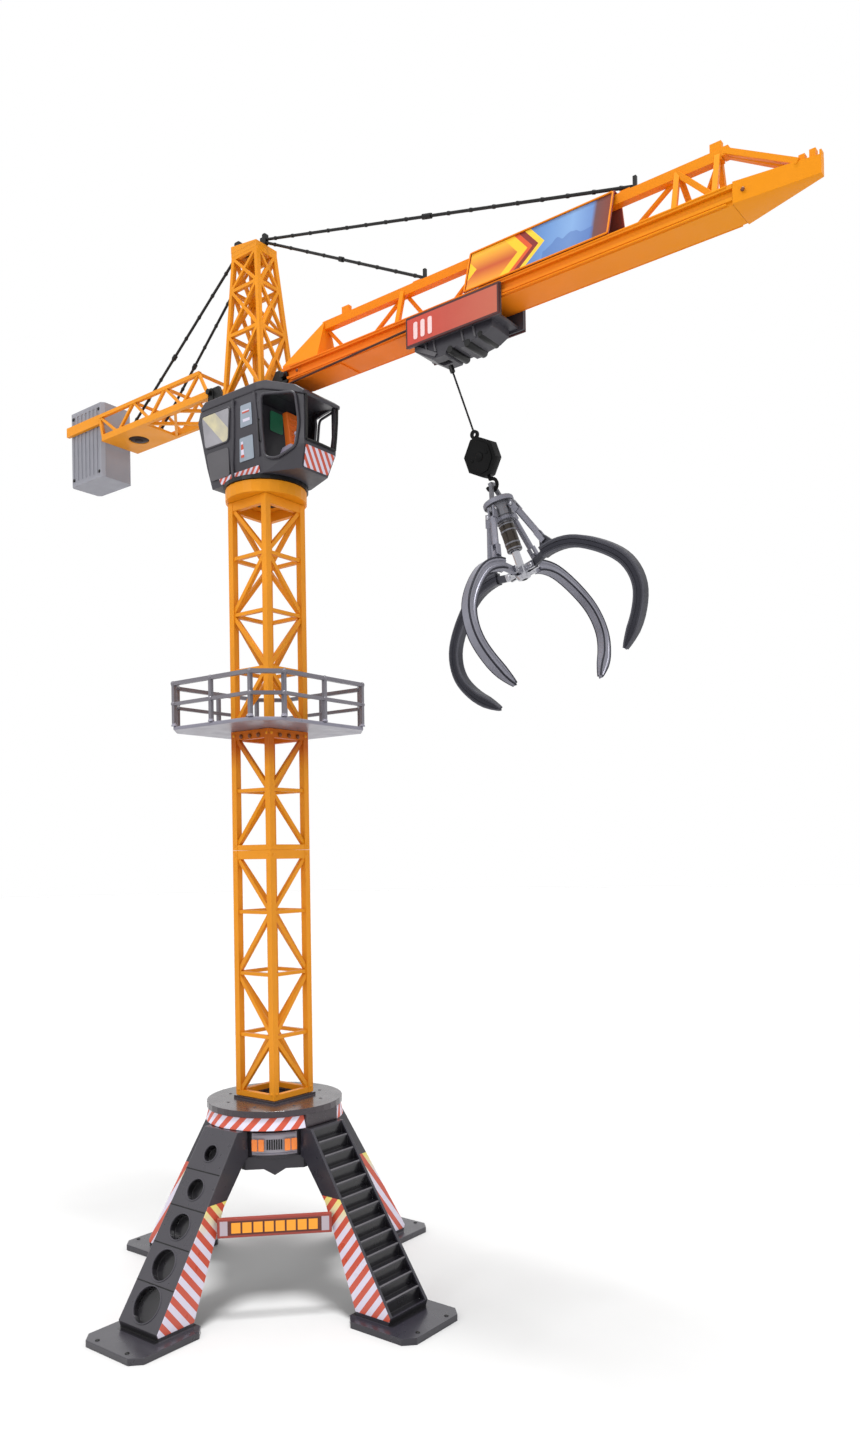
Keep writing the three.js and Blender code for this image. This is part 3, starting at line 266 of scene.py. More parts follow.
sun_data = bpy.data.lights.new("overhead", "SUN")
sun_data.energy = 3.9
sun_data.angle = math.radians(14)
sun = bpy.data.objects.new("overhead", sun_data)
sun.rotation_euler = Vector((-0.12, 0.1, -1)).to_track_quat("-Z", "Y").to_euler()
scene.collection.objects.link(sun)
area_light("key", (-0.5, -2.7, 1.9), (0, 0, 0.7), 1.2, 16)
area_light("fill", (2.4, 0.4, 1.4), (0, 0, 0.6), 1.6, 2)

# -------- printed patterns, painted shade and painted highlights

# A leg: heights and radii of its slanting face's ends, its half width and how that narrows upwards.
PAD_TOP, LEG_TOP = 15, 190.7
FOOT_R, TOP_R = 195, 82
LEG_SLOPE = (FOOT_R - TOP_R) / (LEG_TOP - PAD_TOP)
LEG_HALF, FOOT_FLARE, LEG_TAPER = 27, 1.17, 0.19
STICKER_LOW, STICKER_HIGH = 11.5, 123
YELLOW_FROM, YELLOW_SPAN = 92, 30

HAZARD_RED = srgb(188, 76, 54)
HAZARD_WHITE = srgb(206, 200, 216)
HAZARD_YELLOW = srgb(222, 208, 112)
STRIPE_PITCH = 20.0


def striped(tree, value, pitch=STRIPE_PITCH, pale=HAZARD_WHITE):
    """Red and pale bands of equal width across value."""
    phase = calc(tree, "FRACT", calc(tree, "DIVIDE", value, pitch))
    return mix(tree, calc(tree, "GREATER_THAN", phase, 0.5), HAZARD_RED, pale)


def leg_sticker(along_x):
    """Hazard stripes on the two side faces of a leg that points along x or along y."""
    def pattern(tree, base):
        x, y, z = position(tree)
        nx, ny, nz = position(tree, "Normal")
        facing = calc(tree, "GREATER_THAN", calc(tree, "ABSOLUTE", ny if along_x else nx), 0.8)
        area = calc(tree, "MULTIPLY", facing, between(tree, z, STICKER_LOW, STICKER_HIGH))
        narrowing = calc(tree, "MULTIPLY", z, LEG_HALF * LEG_TAPER / LEG_TOP)
        half = calc(tree, "SUBTRACT", LEG_HALF * FOOT_FLARE - 1.0, narrowing)
        outside = calc(tree, "GREATER_THAN", calc(tree, "ABSOLUTE", y if along_x else x), half)
        area = calc(tree, "MULTIPLY", area, outside)
        value = (calc(tree, "SUBTRACT", calc(tree, "MULTIPLY", x, 1.25), z) if along_x
                 else calc(tree, "ADD", calc(tree, "MULTIPLY", y, 1.25), z))
        height = calc(tree, "DIVIDE", calc(tree, "SUBTRACT", z, YELLOW_FROM), YELLOW_SPAN)
        pale = mix(tree, clamp(tree, height), HAZARD_WHITE, HAZARD_YELLOW)
        # Painted shade: the holes and steps sunk more than 2.5 mm into the leg's slanting face are darkened
        # almost to black.
        radius = calc(tree, "ABSOLUTE", x if along_x else y)
        slope = calc(tree, "SUBTRACT", FOOT_R + PAD_TOP * LEG_SLOPE, calc(tree, "MULTIPLY", z, LEG_SLOPE))
        recess_shade = calc(tree, "GREATER_THAN", calc(tree, "SUBTRACT", slope, radius), 2.5)
        recess_shade = calc(tree, "MULTIPLY", recess_shade, calc(tree, "SUBTRACT", 1.0, outside))
        base = mix(tree, calc(tree, "MULTIPLY", recess_shade, 0.85), base, srgb(13, 12, 15))
        return mix(tree, area, base, striped(tree, value, pale=pale))
    return pattern


def rim_stripes(tree, base):
    """Slanting stripes round the flank of the rim under the cap."""
    x, y, z = position(tree)
    arc = calc(tree, "MULTIPLY", calc(tree, "ARCTAN2", y, x), 77)
    nx, ny, nz = position(tree, "Normal")
    flank = calc(tree, "LESS_THAN", calc(tree, "ABSOLUTE", nz), 0.5)
    bands = striped(tree, calc(tree, "SUBTRACT", arc, calc(tree, "MULTIPLY", z, 0.95)), pitch=17.3)
    return mix(tree, flank, base, bands)


def nose_stripes(tree, base):
    """Slanting stripes on the panel under the windscreen."""
    x, y, z = position(tree)
    return striped(tree, calc(tree, "ADD", y, z), pitch=10)


def skirt_stripes(tree, base):
    """Slanting stripes on the band along the cab's foot."""
    x, y, z = position(tree)
    return striped(tree, calc(tree, "SUBTRACT", x, z), pitch=9)


def shade_under_platform(tree, base):
    """Painted shade: the mast is drawn a deeper, redder orange just under the platform, where the deck shades
    it.
    """
    x, y, z = position(tree)
    height = calc(tree, "DIVIDE", calc(tree, "SUBTRACT", z, 588), 34)
    return mix(tree, clamp(tree, height, 0.75), base, srgb(178, 72, 4))


def jib_painted_highlight(tree, base):
    """Painted highlight: the jib is drawn yellower towards its nose and along its top chord."""
    x, y, z = position(tree)
    along = clamp(tree, calc(tree, "DIVIDE", calc(tree, "SUBTRACT", x, 260), 330), 0.9)
    upper = calc(tree, "MULTIPLY", calc(tree, "GREATER_THAN", z, 1031), 0.45)
    return mix(tree, calc(tree, "MAXIMUM", along, upper), base, srgb(222, 140, 14))


def window_glare(tree, base):
    """A warm slanting reflection across a window."""
    x, y, z = position(tree)
    slant = calc(tree, "ADD", x, calc(tree, "MULTIPLY", calc(tree, "SUBTRACT", z, 957), 0.9))
    glare = calc(tree, "MULTIPLY", between(tree, slant, -22, 0), noise(tree, 70, 3))
    return mix(tree, glare, base, srgb(226, 214, 160))


def bar_print(tree, base):
    """Red border round a row of orange blocks on a pale ground."""
    x, y, z = position(tree)
    along = calc(tree, "MULTIPLY", calc(tree, "ADD", x, y), 0.7071)
    phase = calc(tree, "FRACT", calc(tree, "DIVIDE", calc(tree, "ADD", along, 46), 11.5))
    block = calc(tree, "MULTIPLY", between(tree, phase, 0.08, 0.9), between(tree, z, 93.5, 104.5))
    block = calc(tree, "MULTIPLY", block, between(tree, along, -46, 46))
    pale = calc(tree, "MULTIPLY", between(tree, z, 91.5, 106.5), between(tree, along, -57, 57))
    ends = calc(tree, "GREATER_THAN", calc(tree, "ABSOLUTE", along), 49)
    ground = mix(tree, ends, srgb(84, 40, 32), srgb(172, 160, 168))
    inner = mix(tree, block, ground, srgb(238, 154, 44))
    return mix(tree, pale, srgb(140, 58, 48), inner)


def sign_print(tree, base):
    """Chevrons at one end of the jib's sign and a blue fade along the rest."""
    x, y, z = position(tree)
    rise = calc(tree, "ABSOLUTE", calc(tree, "SUBTRACT", z, 1052))
    arrow = calc(tree, "ADD", x, calc(tree, "MULTIPLY", rise, 0.9))
    step = calc(tree, "DIVIDE", calc(tree, "SUBTRACT", arrow, 292), 92)
    glow = ramp(tree, calc(tree, "DIVIDE", calc(tree, "SUBTRACT", z, 1030), 42), [
        (0.0, srgb(224, 150, 30)), (0.45, srgb(176, 70, 20)), (1.0, srgb(232, 170, 34))])
    chevrons = mix(tree, between(tree, step, 0.17, 0.68), srgb(232, 176, 20), glow)
    chevrons = mix(tree, calc(tree, "GREATER_THAN", step, 0.8), chevrons, srgb(196, 70, 20))
    chevrons = mix(tree, calc(tree, "GREATER_THAN", step, 0.86), chevrons, srgb(118, 26, 20))
    chevrons = mix(tree, calc(tree, "GREATER_THAN", step, 0.93), chevrons, srgb(222, 182, 40))
    fade = ramp(tree, calc(tree, "DIVIDE", calc(tree, "SUBTRACT", x, 352), 101), [
        (0.0, srgb(62, 94, 148)), (0.3, srgb(88, 126, 178)), (0.6, srgb(116, 150, 194)),
        (0.8, srgb(94, 126, 178)), (0.84, srgb(96, 60, 60)), (1.0, srgb(118, 50, 30)),
    ])
    skyline = calc(tree, "ADD", calc(tree, "MULTIPLY", noise(tree, 60, 1, (1, 0.05, 0.05)), 34), 1028)
    low = calc(tree, "MULTIPLY", calc(tree, "LESS_THAN", z, skyline), between(tree, x, 384, 436))
    fade = mix(tree, calc(tree, "MULTIPLY", low, 0.5), fade, srgb(58, 88, 150))
    inside = mix(tree, calc(tree, "GREATER_THAN", step, 1.0), chevrons, fade)
    edge = calc(tree, "MULTIPLY", between(tree, x, 298.5, 451), between(tree, z, 1032.5, 1072))
    return mix(tree, edge, srgb(128, 40, 28), inside)


def plate_print(tree, base):
    """Dark border round the trolley's side plate, paler towards its outer end."""
    x, y, z = position(tree)
    inside = calc(tree, "MULTIPLY", between(tree, x, 230, 338), between(tree, z, 997.2, 1022.6))
    paler = ramp(tree, calc(tree, "DIVIDE", calc(tree, "SUBTRACT", x, 228), 112), [
        (0.0, srgb(190, 56, 40)), (0.45, srgb(180, 70, 54)), (1.0, srgb(182, 92, 68))])
    return mix(tree, inside, srgb(64, 22, 22), paler)


# -------- materials

MAST_LOOK = {"variation": 0.05, "worn": 0.12, "specular": 0.18}
MAST_ORANGE = finish("mast_orange", srgb(214, 134, 8), 0.42, **MAST_LOOK)
JIB_ORANGE = finish("jib_orange", srgb(222, 108, 2), 0.42, variation=0.05, worn=0.12, specular=0.1,
                    pattern=jib_painted_highlight)
CHARCOAL = finish("charcoal", srgb(48, 46, 53), 0.42, grain=0.06, worn=0.2)
LEG_X = finish("charcoal_leg_x", srgb(38, 36, 44), 0.3, grain=0.04, coat=0.3, pattern=leg_sticker(True))
LEG_Y = finish("charcoal_leg_y", srgb(48, 46, 52), 0.3, grain=0.04, coat=0.3, pattern=leg_sticker(False))
CAP_BROWN = finish("cap_brown", srgb(52, 44, 50), 0.26, grain=0.02, variation=0.12, coat=0.3)
SILVER_GREY = finish("silver_grey", srgb(122, 120, 132), 0.32, metal=0.4, worn=0.3)
RAIL_GREY = finish("rail_grey", srgb(104, 101, 108), 0.34, metal=0.45, worn=0.3)
PANEL_GREY = finish("panel_grey", srgb(150, 146, 154), 0.35, metal=0.3)
WEIGHT_GREY = finish("weight_grey", srgb(132, 132, 140), 0.55, grain=0.08, worn=0.3)
PLATE_RED = finish("plate_red", srgb(196, 62, 44), 0.45, pattern=plate_print)
BLACK = finish("black", srgb(12, 12, 13), 0.4, grain=0.06, specular=0.3)
GUNMETAL = finish("gunmetal", srgb(50, 50, 57), 0.42, metal=0.8, variation=0.12, worn=0.3)
BRIGHT = finish("bright_metal", srgb(128, 128, 138), 0.52, metal=0.7, variation=0.1, specular=0.25)
HEAD_METAL = finish("head_metal", srgb(112, 112, 118), 0.46, metal=0.85, variation=0.12, worn=0.3)
SLEEVE = finish("cylinder_sleeve", srgb(62, 56, 50), 0.28, metal=0.7, variation=0.12)
STEEL = finish("steel", srgb(172, 172, 178), 0.2, metal=1.0)
# Edge beads of the claws: dark lines on the light claws and pale lines on the dark ones, painted reflections
# along the edges.
EDGE_DARK = finish("claw_edge_dark", srgb(46, 46, 53), 0.7, metal=0.3, specular=0.15)
EDGE_PALE = finish("claw_edge_pale", srgb(84, 84, 91), 0.7, metal=0.3, specular=0.15)
HOOK_BLACK = finish("hook_black", srgb(5, 5, 6), 0.5, grain=0.06, specular=0.12)
SEAT_ORANGE = finish("seat_orange", srgb(216, 104, 28), 0.5)
CORD = finish("cord", srgb(22, 22, 24), 0.9, grain=0.4, fleck=2500)
LINE_BROWN = finish("line_brown", srgb(66, 34, 20), 0.8, grain=0.3, fleck=2500)
# Near-black brown for the painted shade inside the counter-jib's round hole.
HOLE_SHADE_BROWN = finish("hole_shade_brown", srgb(40, 20, 12), 0.5, specular=0.2)
HAZARD = finish("hazard", srgb(213, 82, 58), 0.4, pattern=rim_stripes)
SKIRT_RED = finish("skirt_stripes", srgb(213, 82, 58), 0.4, pattern=skirt_stripes)
MAST_MIDDLE = finish("mast_middle", srgb(214, 134, 8), 0.42, pattern=shade_under_platform, **MAST_LOOK)
BOLT_BROWN = finish("bolt_brown", srgb(112, 56, 14), 0.4)
NOSE_RED = finish("nose_stripes", srgb(213, 82, 58), 0.4, pattern=nose_stripes)
BAR_PRINT = finish("bar_print", srgb(213, 82, 58), 0.38, pattern=bar_print)
SIGN = finish("sign", srgb(120, 160, 214), 0.34, pattern=sign_print)
LAMP = finish("lamp_orange", srgb(236, 126, 34), 0.2, coat=0.6)
PALE_PRINT = finish("pale_print", srgb(226, 196, 196), 0.45)
GLASS_GREY = finish("window_grey", srgb(146, 144, 150), 0.14, coat=0.6, variation=0.12, pattern=window_glare)
STICKER = finish("sticker", srgb(140, 150, 162), 0.4, variation=0.1)
GREEN = finish("screen_green", srgb(52, 134, 98), 0.3, variation=0.15)
LAVENDER = finish("console_lavender", srgb(158, 150, 170), 0.4)
PANEL_DARK = finish("panel_dark", srgb(84, 82, 86), 0.35, variation=0.08)

BY_SLOT = {
    "mast_orange": MAST_ORANGE, "jib_orange": JIB_ORANGE, "charcoal": CHARCOAL, "silver_grey": SILVER_GREY,
    "weight_grey": WEIGHT_GREY, "plate_red": PLATE_RED, "black": BLACK, "gunmetal": GUNMETAL, "steel": STEEL,
    "seat_orange": SEAT_ORANGE, "cord": CORD, "hazard": HAZARD, "sign_blue": SIGN,
}
BY_NODE = {
    "leg_with_steps": LEG_X, "leg_rear_left": LEG_X, "leg_rear_right": LEG_Y, "leg_front_left": LEG_Y,
    "base_cap": CAP_BROWN, "base_rim": HAZARD, "sign_bar": BAR_PRINT, "lamp_panel": PANEL_GREY,
    "jib_sign": SIGN, "mast_middle": MAST_MIDDLE, "counter_jib": MAST_ORANGE,
    "strut_1": BRIGHT, "strut_2": BRIGHT, "strut_3": BRIGHT, "strut_4": BRIGHT, "grapple_head": HEAD_METAL,
    "hook_block": HOOK_BLACK, "hook": HOOK_BLACK, "platform_railing": RAIL_GREY,
}

# -------- CAD nodes: finish and rounded edges

# Width in millimetres and steps of the rounding, where a solid needs more than the usual.
EDGES = {
    "platform_railing": (1.4, 3), "base_cap": (1.2, 3), "counterweight": (0.9, 2), "cab_roof": (1.4, 3),
    "hook_block": (0.9, 2), "leg_with_steps": (0.8, 2), "leg_front_left": (0.8, 2), "leg_rear_left": (0.8, 2),
    "leg_rear_right": (0.8, 2), "platform_deck": (1.0, 2), "cab_housing": (0.7, 2), "cab_seat": (1.6, 3),
}
# Edges under this angle stay as they are.
SHARP = math.radians(35)
# Inner and round solids keep their edges as they are.
PLAIN = {"slew_ring_gear", "slew_pinion", "slew_motor", "winch_drum", "turntable", "hook"}


def soften(obj, width, segments):
    """Rounds the sharp edges of a CAD solid by width millimetres."""
    weld = obj.modifiers.new("weld", "WELD")
    weld.merge_threshold = 0.00002
    if obj.name != "cab_housing":
        flat = obj.modifiers.new("flat", "DECIMATE")
        flat.decimate_type = "DISSOLVE"
        flat.angle_limit = math.radians(1.0)
    bevel = obj.modifiers.new("bevel", "BEVEL")
    bevel.width = width * MM
    bevel.segments = segments
    bevel.limit_method = "ANGLE"
    bevel.angle_limit = SHARP
    bevel.harden_normals = False


slots = {part["node"]: part["material_slot"] for part in frame["record"]["subparts"]}
for name, obj in frame["nodes"].items():
    obj.data.materials.clear()
    obj.data.materials.append(BY_NODE.get(name, BY_SLOT[slots[name]]))
    if name not in PLAIN:
        soften(obj, *EDGES.get(name, (0.4, 2)))

# -------- shapes for the separate pieces


def tube_shape(points, radii, sides=10, closed=False):
    """A round tube through the points. radii is one number or one for each point."""
    points = [Vector(p) for p in points]
    count = len(points)
    if isinstance(radii, (int, float)):
        radii = [radii] * count
    verts, faces = [], []
    normal = None
    for i, point in enumerate(points):
        before = points[i - 1] if closed or i else point
        after = points[(i + 1) % count] if closed or i < count - 1 else point
        tangent = (after - before).normalized()
        if normal is None:
            guide = Vector((0, 0, 1)) if abs(tangent.z) < 0.9 else Vector((1, 0, 0))
            normal = tangent.cross(guide).normalized()
        normal = (normal - tangent * normal.dot(tangent)).normalized()
        other = tangent.cross(normal)
        for k in range(sides):
            angle = 2 * math.pi * k / sides
            verts.append(point + radii[i] * (normal * math.cos(angle) + other * math.sin(angle)))
    rings = count if closed else count - 1
    for i in range(rings):
        for k in range(sides):
            a, b = i * sides + k, i * sides + (k + 1) % sides
            c, d = ((i + 1) % count) * sides + (k + 1) % sides, ((i + 1) % count) * sides + k
            faces.append((a, b, c, d))
    if not closed:
        faces.append(tuple(reversed(range(sides))))
        faces.append(tuple(range((count - 1) * sides, count * sides)))
    return verts, faces


def prism_shape(corners, lift):
    """A flat outline pushed along lift."""
    corners = [Vector(c) for c in corners]
    count = len(corners)
    verts = corners + [c + Vector(lift) for c in corners]
    faces = [tuple(reversed(range(count))), tuple(range(count, 2 * count))]
    faces += [(i, (i + 1) % count, (i + 1) % count + count, i + count) for i in range(count)]
    return verts, faces


def rounded(points, radius):
    """The outline with its corners rounded."""
    steps = 4
    points = [Vector(p) for p in points]
    result = []
    for i, point in enumerate(points):
        to_last, to_next = points[i - 1] - point, points[(i + 1) % len(points)] - point
        r = min(radius, to_last.length * 0.45, to_next.length * 0.45)
        start, end = point + to_last.normalized() * r, point + to_next.normalized() * r
        for k in range(steps + 1):
            t = k / steps
            result.append(start * (1 - t) ** 2 + point * 2 * t * (1 - t) + end * t * t)
    return result


def knob_shape(place, axis, radius, height, sides=12):
    """A low dome standing on place along axis."""
    axis = Vector(axis).normalized()
    steps = [(0, 1.0), (0.45, 1.0), (0.8, 0.8), (0.97, 0.45), (1.0, 0.08)]
    centres = [Vector(place) + axis * height * h for h, r in steps]
    return tube_shape(centres, [radius * r for h, r in steps], sides)


def ball_shape(place, radius, axis=(0, 0, 1), long=1.0, sides=10):
    """A ball, stretched long times along axis."""
    steps = [-0.99, -0.8, -0.4, 0, 0.4, 0.8, 0.99]
    axis = Vector(axis).normalized()
    return tube_shape([Vector(place) + axis * radius * long * h for h in steps],
                      [radius * math.sqrt(1 - h * h) for h in steps], sides)


def piece(name, shapes, material, body, bevel=0.0):
    """One object made of several shapes given in millimetres from the mast's axis."""
    verts, faces = [], []
    for shape_verts, shape_faces in shapes:
        first = len(verts)
        verts += [at(*v) for v in shape_verts]
        faces += [tuple(first + i for i in face) for face in shape_faces]
    mesh = bpy.data.meshes.new(name)
    mesh.from_pydata(verts, [], faces)
    filled = bmesh.new()
    filled.from_mesh(mesh)
    bmesh.ops.recalc_face_normals(filled, faces=filled.faces)
    filled.to_mesh(mesh)
    filled.free()
    mesh.materials.append(material)
    mesh.shade_smooth()
    mesh.set_sharp_from_angle(angle=math.radians(40))
    obj = bpy.data.objects.new(name, mesh)
    scene.collection.objects.link(obj)
    if bevel:
        soft = obj.modifiers.new("bevel", "BEVEL")
        soft.width = bevel * MM
        soft.segments = 2
        soft.limit_method = "ANGLE"
        soft.angle_limit = SHARP
    if body:
        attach(obj, body)
    return obj


def mirrored(points):
    """The points on the other side of the crane's middle plane."""
    return [(x, -y, z) for x, y, z in points]

# -------- base

LAMP_RING = 66.3


def round_front(radius, angle, z):
    """A point on the hub's side, angle measured from the middle of the gap between the front legs."""
    turned = angle - math.pi / 4
    return radius * math.cos(turned), radius * math.sin(turned), z


lenses = []
for lamp_side in (-1, 1):
    for k in range(2):
        angle = lamp_side * 0.245 + (k - 0.5) * 0.1
        corners = [round_front(LAMP_RING + 6.6, angle + a, z) for a, z in
                   ((-0.044, 168), (0.044, 168), (0.044, 181), (-0.044, 181))]
        out = Vector(round_front(1.3, angle, 0))
        lenses.append(prism_shape(rounded(corners, 1.2), out))
piece("lamp_lenses", lenses, LAMP, "root", bevel=0.4)
grille = []
for k in range(7):
    angle = (k - 3) * 0.036
    corners = [round_front(LAMP_RING + 4.0, angle + a, z) for a, z in
               ((-0.011, 169), (0.011, 169), (0.011, 180), (-0.011, 180))]
    grille.append(prism_shape(corners, Vector(round_front(1.0, angle, 0))))
piece("lamp_grille", grille, BLACK, "root", bevel=0.2)
lamp_rims = []
for z in (164.6, 185.4):
    line = [round_front(LAMP_RING + 4.3, (k / 16 - 0.5) * 0.69, z) for k in range(17)]
    lamp_rims.append(tube_shape(line, 0.9, 8))
piece("lamp_rims", lamp_rims, SILVER_GREY, "root")

screws = []
for k in range(8):
    angle = math.radians(22.5 + 45 * k)
    screws.append(knob_shape((56 * math.cos(angle), 56 * math.sin(angle), 211.7), (0, 0, 1), 2.0, 0.9))
piece("cap_screws", screws, CAP_BROWN, "root")


def slope_at(z):
    """Radius of a leg's slanting face at height z."""
    return FOOT_R - LEG_SLOPE * (z - PAD_TOP)


def half_width(z):
    """Half the width of a leg at height z."""
    return LEG_HALF * (FOOT_FLARE - LEG_TAPER * z / LEG_TOP)


def spoke_point(turn, r, t, z):
    """A point turn quarter turns round from +X: distance out, sideways distance and height."""
    a = turn * math.pi / 2
    return r * math.cos(a) - t * math.sin(a), r * math.sin(a) + t * math.cos(a), z


STEP_COUNT = 13
# The step edges are lighter grey tubes: painted highlights along the dark steps.
nosings = []
rise = (LEG_TOP - PAD_TOP) / STEP_COUNT
for i in range(1, STEP_COUNT):
    z = PAD_TOP + rise * i
    r = slope_at(z) - 1.0
    half = half_width(z) - 4.2
    nosings.append(tube_shape([(r, -half, z - 0.7), (r, half, z - 0.7)], 1.1, 8))
piece("step_nosings", nosings, PANEL_DARK, "root")

# The way up a leg's slanting face, outwards and upwards.
SLOPE_RUN = Vector((TOP_R - FOOT_R, LEG_TOP - PAD_TOP)).normalized()
HOLE_PITCH = 33.5
for turn, name in ((-1, "front_left"), (1, "rear_right"), (2, "rear_left")):
    grooves = []
    for i in range(4):
        z = 151 - HOLE_PITCH * i
        half = half_width(z) - 1
        ends = [spoke_point(turn, slope_at(z) + 0.1, t, z) for t in (-half, half)]
        grooves.append(tube_shape(ends, 0.55, 6))
    rings = []
    for i in range(5):
        z = 168 - HOLE_PITCH * i
        radius = 9.5 + 2.3 * i
        line = []
        for k in range(28):
            a = 2 * math.pi * k / 28
            along = radius * math.sin(a)
            r = slope_at(z) + SLOPE_RUN.x * along + 0.1
            line.append(spoke_point(turn, r, radius * math.cos(a), z + SLOPE_RUN.y * along))
        rings.append(tube_shape(line, 0.8, 6, closed=True))
    piece("leg_grooves_" + name, grooves, BLACK, "root")
    piece("leg_hole_rims_" + name, rings, CHARCOAL, "root")

pad_screws = []
for turn in range(4):
    for t in (-24, 24):
        pad_screws.append(knob_shape(spoke_point(turn, 225, t, 6.9), (0, 0, 1), 2.4, 1.0))
piece("pad_screws", pad_screws, BLACK, "root")

# -------- mast and platform

MAST_HALF = 31
PIN_HEIGHTS = (500, 490, 626, 640, 222)
joint_pins = []
for z in PIN_HEIGHTS:
    near, face = MAST_HALF - 4, MAST_HALF - 0.2
    for sx, sy in ((1, -1), (1, 1), (-1, 1), (-1, -1)):
        joint_pins.append(knob_shape((sx * near, sy * face, z), (0, sy, 0), 1.7, 0.8))
        joint_pins.append(knob_shape((sx * face, sy * near, z), (sx, 0, 0), 1.7, 0.8))
piece("mast_pins", joint_pins, MAST_ORANGE, "root")

collar_studs = []
for k in range(4):
    for t in (-14, 0, 14):
        place = spoke_point(k, MAST_HALF, t, 624.5)
        collar_studs.append(knob_shape(place, spoke_point(k, 1, 0, 0), 2.6, 1.6))
piece("collar_studs", collar_studs, BOLT_BROWN, "root")

deck_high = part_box("platform_deck")[1].z / MM
rail_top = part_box("platform_railing")[1].z / MM - 2.2
# The railing's corners: a square with its corners cut off, half its width and where the cut starts.
RAIL_HALF, RAIL_CUT = 87, 62
corners = []
for turn in range(4):
    corners += [spoke_point(turn, RAIL_HALF, t, 0)[:2] for t in (-RAIL_CUT, RAIL_CUT)]
knobs = []
railing_feet = []
for i, (x, y) in enumerate(corners):
    spots = [(x, y)]
    if i % 2 == 0:
        nx, ny = corners[(i + 1) % 8]
        spots.append(((x + nx) / 2, (y + ny) / 2))
    for px, py in spots:
        out = Vector((px, py, 0)).normalized()
        for z in (rail_top, deck_high + 25.3):
            knobs.append(ball_shape((px + out.x * 0.6, py + out.y * 0.6, z), 3.1))
        foot = [(px, py, deck_high + h) for h in (0.1, 1.6, 3.4)]
        railing_feet.append(tube_shape(foot, [3.6, 3.4, 2.2], 12))
piece("railing_knobs", knobs, RAIL_GREY, "root")
piece("railing_feet", railing_feet, SILVER_GREY, "root")
# The ribs run from beside the mast to the deck's rim, and shorter at the cut corners.
RIB_PITCH, RIB_INNER, RIB_OUTER = 6.4, 38, 82
deck_ribs = []
for turn in range(4):
    for i in range(-9, 10):
        t = i * RIB_PITCH
        if abs(t) < RIB_INNER or turn % 2 == 0:
            outer = RIB_OUTER - max(0, abs(t) - RAIL_CUT + 6)
            ends = [spoke_point(turn, r, t, deck_high) for r in (RIB_INNER, outer)]
            deck_ribs.append(tube_shape(ends, 0.7, 6))
piece("deck_ribs", deck_ribs, SILVER_GREY, "root")

# -------- cab


def cab_side(x, z, out=0.3):
    """A point on the cab's right-hand flank."""
    return x, -(41 + (z - 936) * 5.5 / 52) - out, z


DOOR_TURN = math.atan2(19, 53)
DOOR_X, DOOR_Y = 35, -43


def door_point(x, z, out):
    """A point on the slanting door face; x runs forwards along it."""
    y = -2.2 - out + (z - 960) * -0.085
    ahead, across = math.cos(DOOR_TURN), math.sin(DOOR_TURN)
    return DOOR_X + x * ahead - y * across, DOOR_Y + x * across + y * ahead, z


WINDOW = [(-54, 957), (-14, 957), (-7, 993), (-55, 993)]
PANEL = [(-49, 920), (-17, 920), (-15, 951), (-52, 951)]
STICKERS = ([(7, 966), (26, 966), (27, 989), (10, 989)], [(1, 930), (24, 930), (25, 955), (4, 955)])
STICKER_BARS = ([(4, 934), (9, 934), (9, 951), (6, 951)], [(12, 971), (23, 971), (23, 974), (12, 974)],
                [(12, 980), (23, 980), (23, 983), (12, 983)])
DOOR = [(6, 927), (20, 924), (44, 934), (49, 958), (46, 991), (5, 994), (4, 960)]
for flank, flip in (("right", lambda p: p), ("left", mirrored)):
    sign = -1 if flank == "right" else 1
    lift = Vector((0, sign * 0.7, 0))
    piece("cab_window_" + flank, [prism_shape(rounded(flip([cab_side(x, z) for x, z in WINDOW]), 4), lift)],
          GLASS_GREY, "upper", bevel=0.3)
    frame_line = rounded(flip([cab_side(x, z, 0.6) for x, z in WINDOW]), 5)
    piece("cab_window_frame_" + flank, [tube_shape(frame_line, 1.1, 8, closed=True)], CHARCOAL, "upper")
    piece("cab_panel_" + flank, [prism_shape(rounded(flip([cab_side(x, z) for x, z in PANEL]), 4), lift)],
          PANEL_DARK, "upper", bevel=0.5)
    ridge = [cab_side(x, z, 0.4) for x, z in ((-1, 998), (-3, 975), (-7, 950), (-11, 930), (-12, 916))]
    post = [cab_side(x, z, 0.4) for x, z in ((33, 998), (34, 975), (34, 950), (32, 930))]
    piece("cab_ridges_" + flank, [tube_shape(flip(ridge), 1.9, 10), tube_shape(flip(post), 1.5, 10)],
          CHARCOAL, "upper")
    stickers = []
    for outline in STICKERS:
        stickers.append(prism_shape(rounded(flip([cab_side(x, z) for x, z in outline]), 1.5), lift * 0.5))
    piece("cab_stickers_" + flank, stickers, STICKER, "upper")
    bars = [prism_shape(flip([cab_side(x, z, 0.6) for x, z in outline]), lift * 0.3)
            for outline in STICKER_BARS]
    piece("cab_sticker_marks_" + flank, bars, NOSE_RED, "upper")
    edge = rounded(flip([door_point(x, z, 0.5) for x, z in DOOR]), 6)
    piece("cab_door_frame_" + flank, [tube_shape(edge, 1.5, 10, closed=True)], CHARCOAL, "upper")
    rail = [door_point(1, z, 2.2) for z in (945, 956, 968)]
    ends = [[door_point(1, z, 2.2), door_point(1, z, -0.5)] for z in (945, 968)]
    grab_rail = [tube_shape(flip(line), 0.8, 8) for line in [rail] + ends]
    piece("cab_grab_rail_" + flank, grab_rail, BLACK, "upper")

